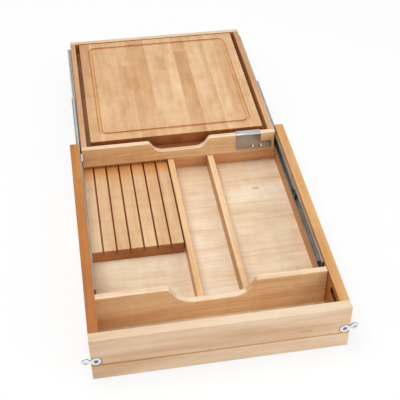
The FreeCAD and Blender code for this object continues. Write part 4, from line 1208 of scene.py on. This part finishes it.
bpy.ops.object.mode_set(mode="EDIT")
pick("EDGE", lambda at: near(at.z, latch_high[2]), along="X")
bpy.ops.mesh.bevel(offset=FOLD, segments=ROUND_STEPS, profile=0.5, affect="EDGES")
pick(
    "VERT",
    lambda at: near(at.x, latch_low[0]) and near(at.z, latch_low[2])
    or near(at.x, latch_high[0]) and (near(at.z, latch_low[2]) or near(at.z, tongue_top)),
)
bpy.ops.mesh.bevel(offset=LATCH_CORNER, segments=ROUND_STEPS, affect="VERTICES")
bpy.ops.mesh.select_all(action="SELECT")
bpy.ops.mesh.normals_make_consistent(inside=False)
bpy.ops.object.mode_set(mode="OBJECT")
front_normal = [face.normal.y for face in plate.data.polygons if abs(face.normal.y) > 0.99][0]
print("plate faces:", len(plate.data.polygons), "front faces", "forward" if front_normal < 0 else "back")

# %% Give it thickness, its slot and soft edges
SHEET = 2 * MM
SLOT_LEFT = 134.8 * MM
SLOT_RIGHT = 186 * MM
SLOT_HEIGHT = 70.2 * MM
SLOT_HALF = 1.9 * MM
SLOT_FLAT = 0.05 * MM
SHEET_EDGE = 0.3 * MM

inwards = -1 if front_normal < 0 else 1
apply_modifier(plate, "SOLIDIFY", thickness=SHEET, offset=inwards, use_even_offset=True)
slot_cutter = start_block(
    "slot_cutter",
    (SLOT_LEFT, latch_low[1] - SHEET, SLOT_HEIGHT - SLOT_HALF),
    (SLOT_RIGHT, latch_low[1] + 2 * SHEET, SLOT_HEIGHT + SLOT_HALF),
)
bpy.ops.object.mode_set(mode="EDIT")
pick("EDGE", lambda at: True, along="Y")
bpy.ops.mesh.bevel(offset=SLOT_HALF - SLOT_FLAT, segments=6, profile=0.5, affect="EDGES")
bpy.ops.object.mode_set(mode="OBJECT")
cut_away(plate, slot_cutter)
sharp = math.radians(50)
apply_modifier(
    plate, "BEVEL", width=SHEET_EDGE, segments=2, limit_method="ANGLE", angle_limit=sharp
)
outward_and_smooth(plate, 30)
stands_for(plate, "latch_plate", nickel)

# %% [markdown]
# ## Screws
#
# Two forms of screw are seen: low domed ones in the latch's slot, and countersunk ones in the
# fasteners and slides. Each starts as a cylinder for the shank. Its end face is extruded and widened
# into the head, a bevel makes the dome or the tip, and two crossed bars are cut away for the driver.
# Every screw is modelled once at the origin, pointing along Y, and then copied to its places.

# %% A screw's shank and its cross
SCREW_SIDES = 32
TIP_SHARE = 0.7


def shank_along_y(name, radius, near_end, far_end):
    """Starts a screw: a cylinder along Y with a pointed far end."""
    shank = start(
        name,
        bpy.ops.mesh.primitive_cylinder_add,
        vertices=SCREW_SIDES,
        radius=radius,
        depth=far_end - near_end,
        rotation=(math.pi / 2, 0, 0),
        location=(0, (near_end + far_end) / 2, 0),
    )
    bpy.ops.object.mode_set(mode="EDIT")
    pick("FACE", lambda at: near(at.y, far_end))
    bpy.ops.mesh.bevel(offset=radius * TIP_SHARE, segments=2, profile=0.5, affect="EDGES")
    bpy.ops.object.mode_set(mode="OBJECT")
    return shank


def cut_cross(screw, reach, width, face, depth):
    """Cuts the crossed slots for a driver into the head of a screw."""
    for turn in (math.pi / 4, -math.pi / 4):
        bar = start_block("driver_bar", (-reach, face - depth, -width / 2), (reach, face + depth, width / 2))
        bar.rotation_euler = (0, turn, 0)
        make_active(bar)
        bpy.ops.object.transform_apply(location=False, rotation=True, scale=False)
        cut_away(screw, bar)


print("a shank has", SCREW_SIDES, "sides")

# %% Countersunk and domed heads
def countersunk_screw(name, head, cone, shank, length):
    """A flat-headed screw whose face lies at Y = 0."""
    screw = shank_along_y(name, shank, cone, length)
    bpy.ops.object.mode_set(mode="EDIT")
    pick("FACE", lambda at: near(at.y, cone))
    bpy.ops.mesh.extrude_region_move(TRANSFORM_OT_translate={"value": (0, -cone, 0)})
    bpy.ops.transform.resize(value=(head / shank, 1, head / shank), center_override=(0, 0, 0))
    bpy.ops.object.mode_set(mode="OBJECT")
    cut_cross(screw, reach=head * 0.55, width=head * 0.24, face=0, depth=cone * 0.6)
    outward_and_smooth(screw)
    return screw


def domed_screw(name, head, height, dome, shank, length):
    """A round-headed screw whose face lies at Y = 0."""
    screw = shank_along_y(name, shank, height, length)
    bpy.ops.object.mode_set(mode="EDIT")
    pick("FACE", lambda at: near(at.y, height))
    bpy.ops.mesh.extrude_region_move(TRANSFORM_OT_translate={"value": (0, 0, 0)})
    bpy.ops.transform.resize(value=(head / shank, 1, head / shank), center_override=(0, 0, 0))
    bpy.ops.mesh.extrude_region_move(TRANSFORM_OT_translate={"value": (0, -height, 0)})
    bpy.ops.mesh.bevel(offset=dome, segments=5, profile=0.5, affect="EDGES")
    bpy.ops.object.mode_set(mode="OBJECT")
    cut_cross(screw, reach=head * 0.5, width=head * 0.22, face=0, depth=height * 0.5)
    outward_and_smooth(screw)
    return screw


LATCH_SCREW = {"head": 3.3 * MM, "height": 1.8 * MM, "dome": 1.1 * MM, "shank": 1.6 * MM}
domed = domed_screw("latch_screw", length=10.1 * MM, **LATCH_SCREW)
print("faces of a domed screw:", len(domed.data.polygons))

# %% Put the latch's screws in their places
LATCH_SCREWS = (163 * MM, 182 * MM)

latch_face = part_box("latch_screws")[0][1]
pair = copies(domed, [((across, latch_face, SLOT_HEIGHT), 0) for across in LATCH_SCREWS])
pair.name = "domed_latch_screws"
stands_for(pair, "latch_screws", bright_zinc)

# %% Put the slides' screws in their places
SLIDE_HEIGHT = 75.5 * MM
OUTER_FACE, OUTER_SCREWS = 222.5 * MM, (174 * MM, 514 * MM)
INNER_FACE, INNER_SCREWS = 212.2 * MM, (589 * MM, 951 * MM)
SLIDE_SCREW = {"head": 3.2 * MM, "cone": 1.2 * MM, "shank": 1.6 * MM, "length": 7.5 * MM}
QUARTER = math.pi / 2


def slide_screws(name, node, face, places, outward):
    """Two countersunk screws on each side, driven outwards or inwards from their face."""
    one = countersunk_screw(name, **SLIDE_SCREW)
    shifts = []
    for side in (LEFT, RIGHT):
        for place in places:
            shifts.append(((side * face, place, SLIDE_HEIGHT), -side * outward * QUARTER))
    screws = copies(one, shifts)
    stands_for(screws, node, bright_zinc)


slide_screws("countersunk_outer_screws", "outer_slide_screws", OUTER_FACE, OUTER_SCREWS, 1)
slide_screws("countersunk_inner_screws", "inner_slide_screws", INNER_FACE, INNER_SCREWS, -1)

# %% [markdown]
# ## Figure-eight fasteners
#
# These small steel plates hold the drawer to its cabinet. A disc sits on a screw in the front board,
# and a ring with a hole reaches past the side. Two cylinders are a good start. The ring is inset on
# both faces and bridged, which opens its hole, and the disc likewise with a wider mouth in front,
# which makes the countersink. Bevels round the rims, as stamping and tumbling do.

# %% A round plate with a hole
PLATE = 2.4 * MM
PLATE_SIDES = 48


def open_plate(name, centre, radius, front_hole, back_hole, rim):
    """A round plate in the XZ plane with a straight or flaring hole and rounded rims."""
    plate = start(
        name,
        bpy.ops.mesh.primitive_cylinder_add,
        vertices=PLATE_SIDES,
        radius=radius,
        depth=PLATE,
        rotation=(math.pi / 2, 0, 0),
        location=(centre, PLATE / 2, 0),
    )
    bpy.ops.object.mode_set(mode="EDIT")
    for level, hole in ((0, front_hole), (PLATE, back_hole)):
        pick("FACE", lambda at: near(at.y, level))
        bpy.ops.mesh.inset(thickness=radius - hole, depth=0)
    inner = lambda at: (at.x - centre) ** 2 + at.z**2 < (front_hole + WALL) ** 2
    pick("FACE", inner)
    bpy.ops.mesh.bridge_edge_loops()
    pick("EDGE", lambda at: near(at.y, 0) and not inner(at))
    bpy.ops.mesh.bevel(offset=rim, segments=4, profile=0.5, affect="EDGES")
    bpy.ops.object.mode_set(mode="OBJECT")
    return plate


print("the plates are", PLATE / MM, "mm thick")

# %% Join a disc, a ring and a neck
DISC = 9.5 * MM
RING = 8 * MM
BORE = 3.5 * MM
HEAD = 4.3 * MM
HOLE = 2.1 * MM
SPACING = 18 * MM
NECK = 7 * MM
DISC_RIM = 0.5 * MM
RING_RIM = 1.1 * MM
OVERLAP = 2 * MM
NECK_SINK = 0.15 * MM, 0.1 * MM


def figure_eight(name, node, side, place, tilt):
    """A fastener with its ring to the left or right, on its screw's place and tilted about it."""
    disc = open_plate(name, 0, DISC, HEAD, HOLE, DISC_RIM)
    ring = open_plate("ring", side * SPACING, RING, BORE, BORE, RING_RIM)
    ends = sorted((side * (HEAD + OVERLAP), side * (SPACING - BORE - OVERLAP)))
    front, back = NECK_SINK[0], PLATE - NECK_SINK[1]
    neck = start_block("neck", (ends[0], front, -NECK / 2), (ends[1], back, NECK / 2))
    cut_away(disc, ring, "UNION")
    cut_away(disc, neck, "UNION")
    disc.rotation_euler = (0, -math.radians(tilt), 0)
    disc.location = place
    make_active(disc)
    bpy.ops.object.transform_apply(location=True, rotation=True, scale=False)
    outward_and_smooth(disc)
    stands_for(disc, node, stamped_zinc)


print("hole to hole:", SPACING / MM, "mm")

# %% Put the fasteners in their places
FASTENER_X = 226 * MM
FASTENER_FACE = 0.1 * MM
FASTENER_HEIGHT = 46.7 * MM
RIGHT_TILT = 12

for word, side in SIDES.items():
    place = (side * FASTENER_X, FASTENER_FACE, FASTENER_HEIGHT)
    tilt = RIGHT_TILT if side == RIGHT else 0
    figure_eight(f"figure_eight_{word}", f"fastener_{word}", side, place, tilt)

# %% Put the fasteners' screws in their places
FASTENER_SCREW = {"head": HEAD, "cone": 2.3 * MM, "shank": 2 * MM, "length": 15 * MM}

fastener_screw = countersunk_screw("fastener_screw", **FASTENER_SCREW)
two_ends = [((side * FASTENER_X, FASTENER_FACE, FASTENER_HEIGHT), 0) for side in (LEFT, RIGHT)]
screws = copies(fastener_screw, two_ends)
screws.name = "countersunk_fastener_screws"
# The darker zinc of these screws is painted shade of the countersinks.
stands_for(screws, "fastener_screws", recess_shaded_zinc)

# %% [markdown]
# ## Balls
#
# Each slide runs on two stages of steel balls in cages. The frame's balls are faceted, to stay light.
# One smooth ball is made for each stage and copied to the ten places of its cage.

# %% Model the balls
BALL_ROW = 5
BALL_RINGS = 8
RING_SIDES = 16

for node in [name for name in nodes if "_balls_" in name]:
    low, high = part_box(node)
    radius = (high[0] - low[0]) / 2
    reach = radius * math.cos(math.pi / BALL_RINGS)
    ball = start(
        node.replace("balls", "smooth_balls"),
        bpy.ops.mesh.primitive_uv_sphere_add,
        segments=RING_SIDES,
        ring_count=BALL_RINGS,
        radius=radius,
        location=((low[0] + high[0]) / 2, low[1] + reach, low[2] + radius),
    )
    step = (high[1] - low[1] - 2 * reach) / (BALL_ROW - 1)
    rise = high[2] - low[2] - 2 * radius
    row = [((0, step * number, lift), 0) for number in range(BALL_ROW) for lift in (0, rise)]
    joined = copies(ball, row)
    outward_and_smooth(joined, 60)
    stands_for(joined, node, bright_zinc)
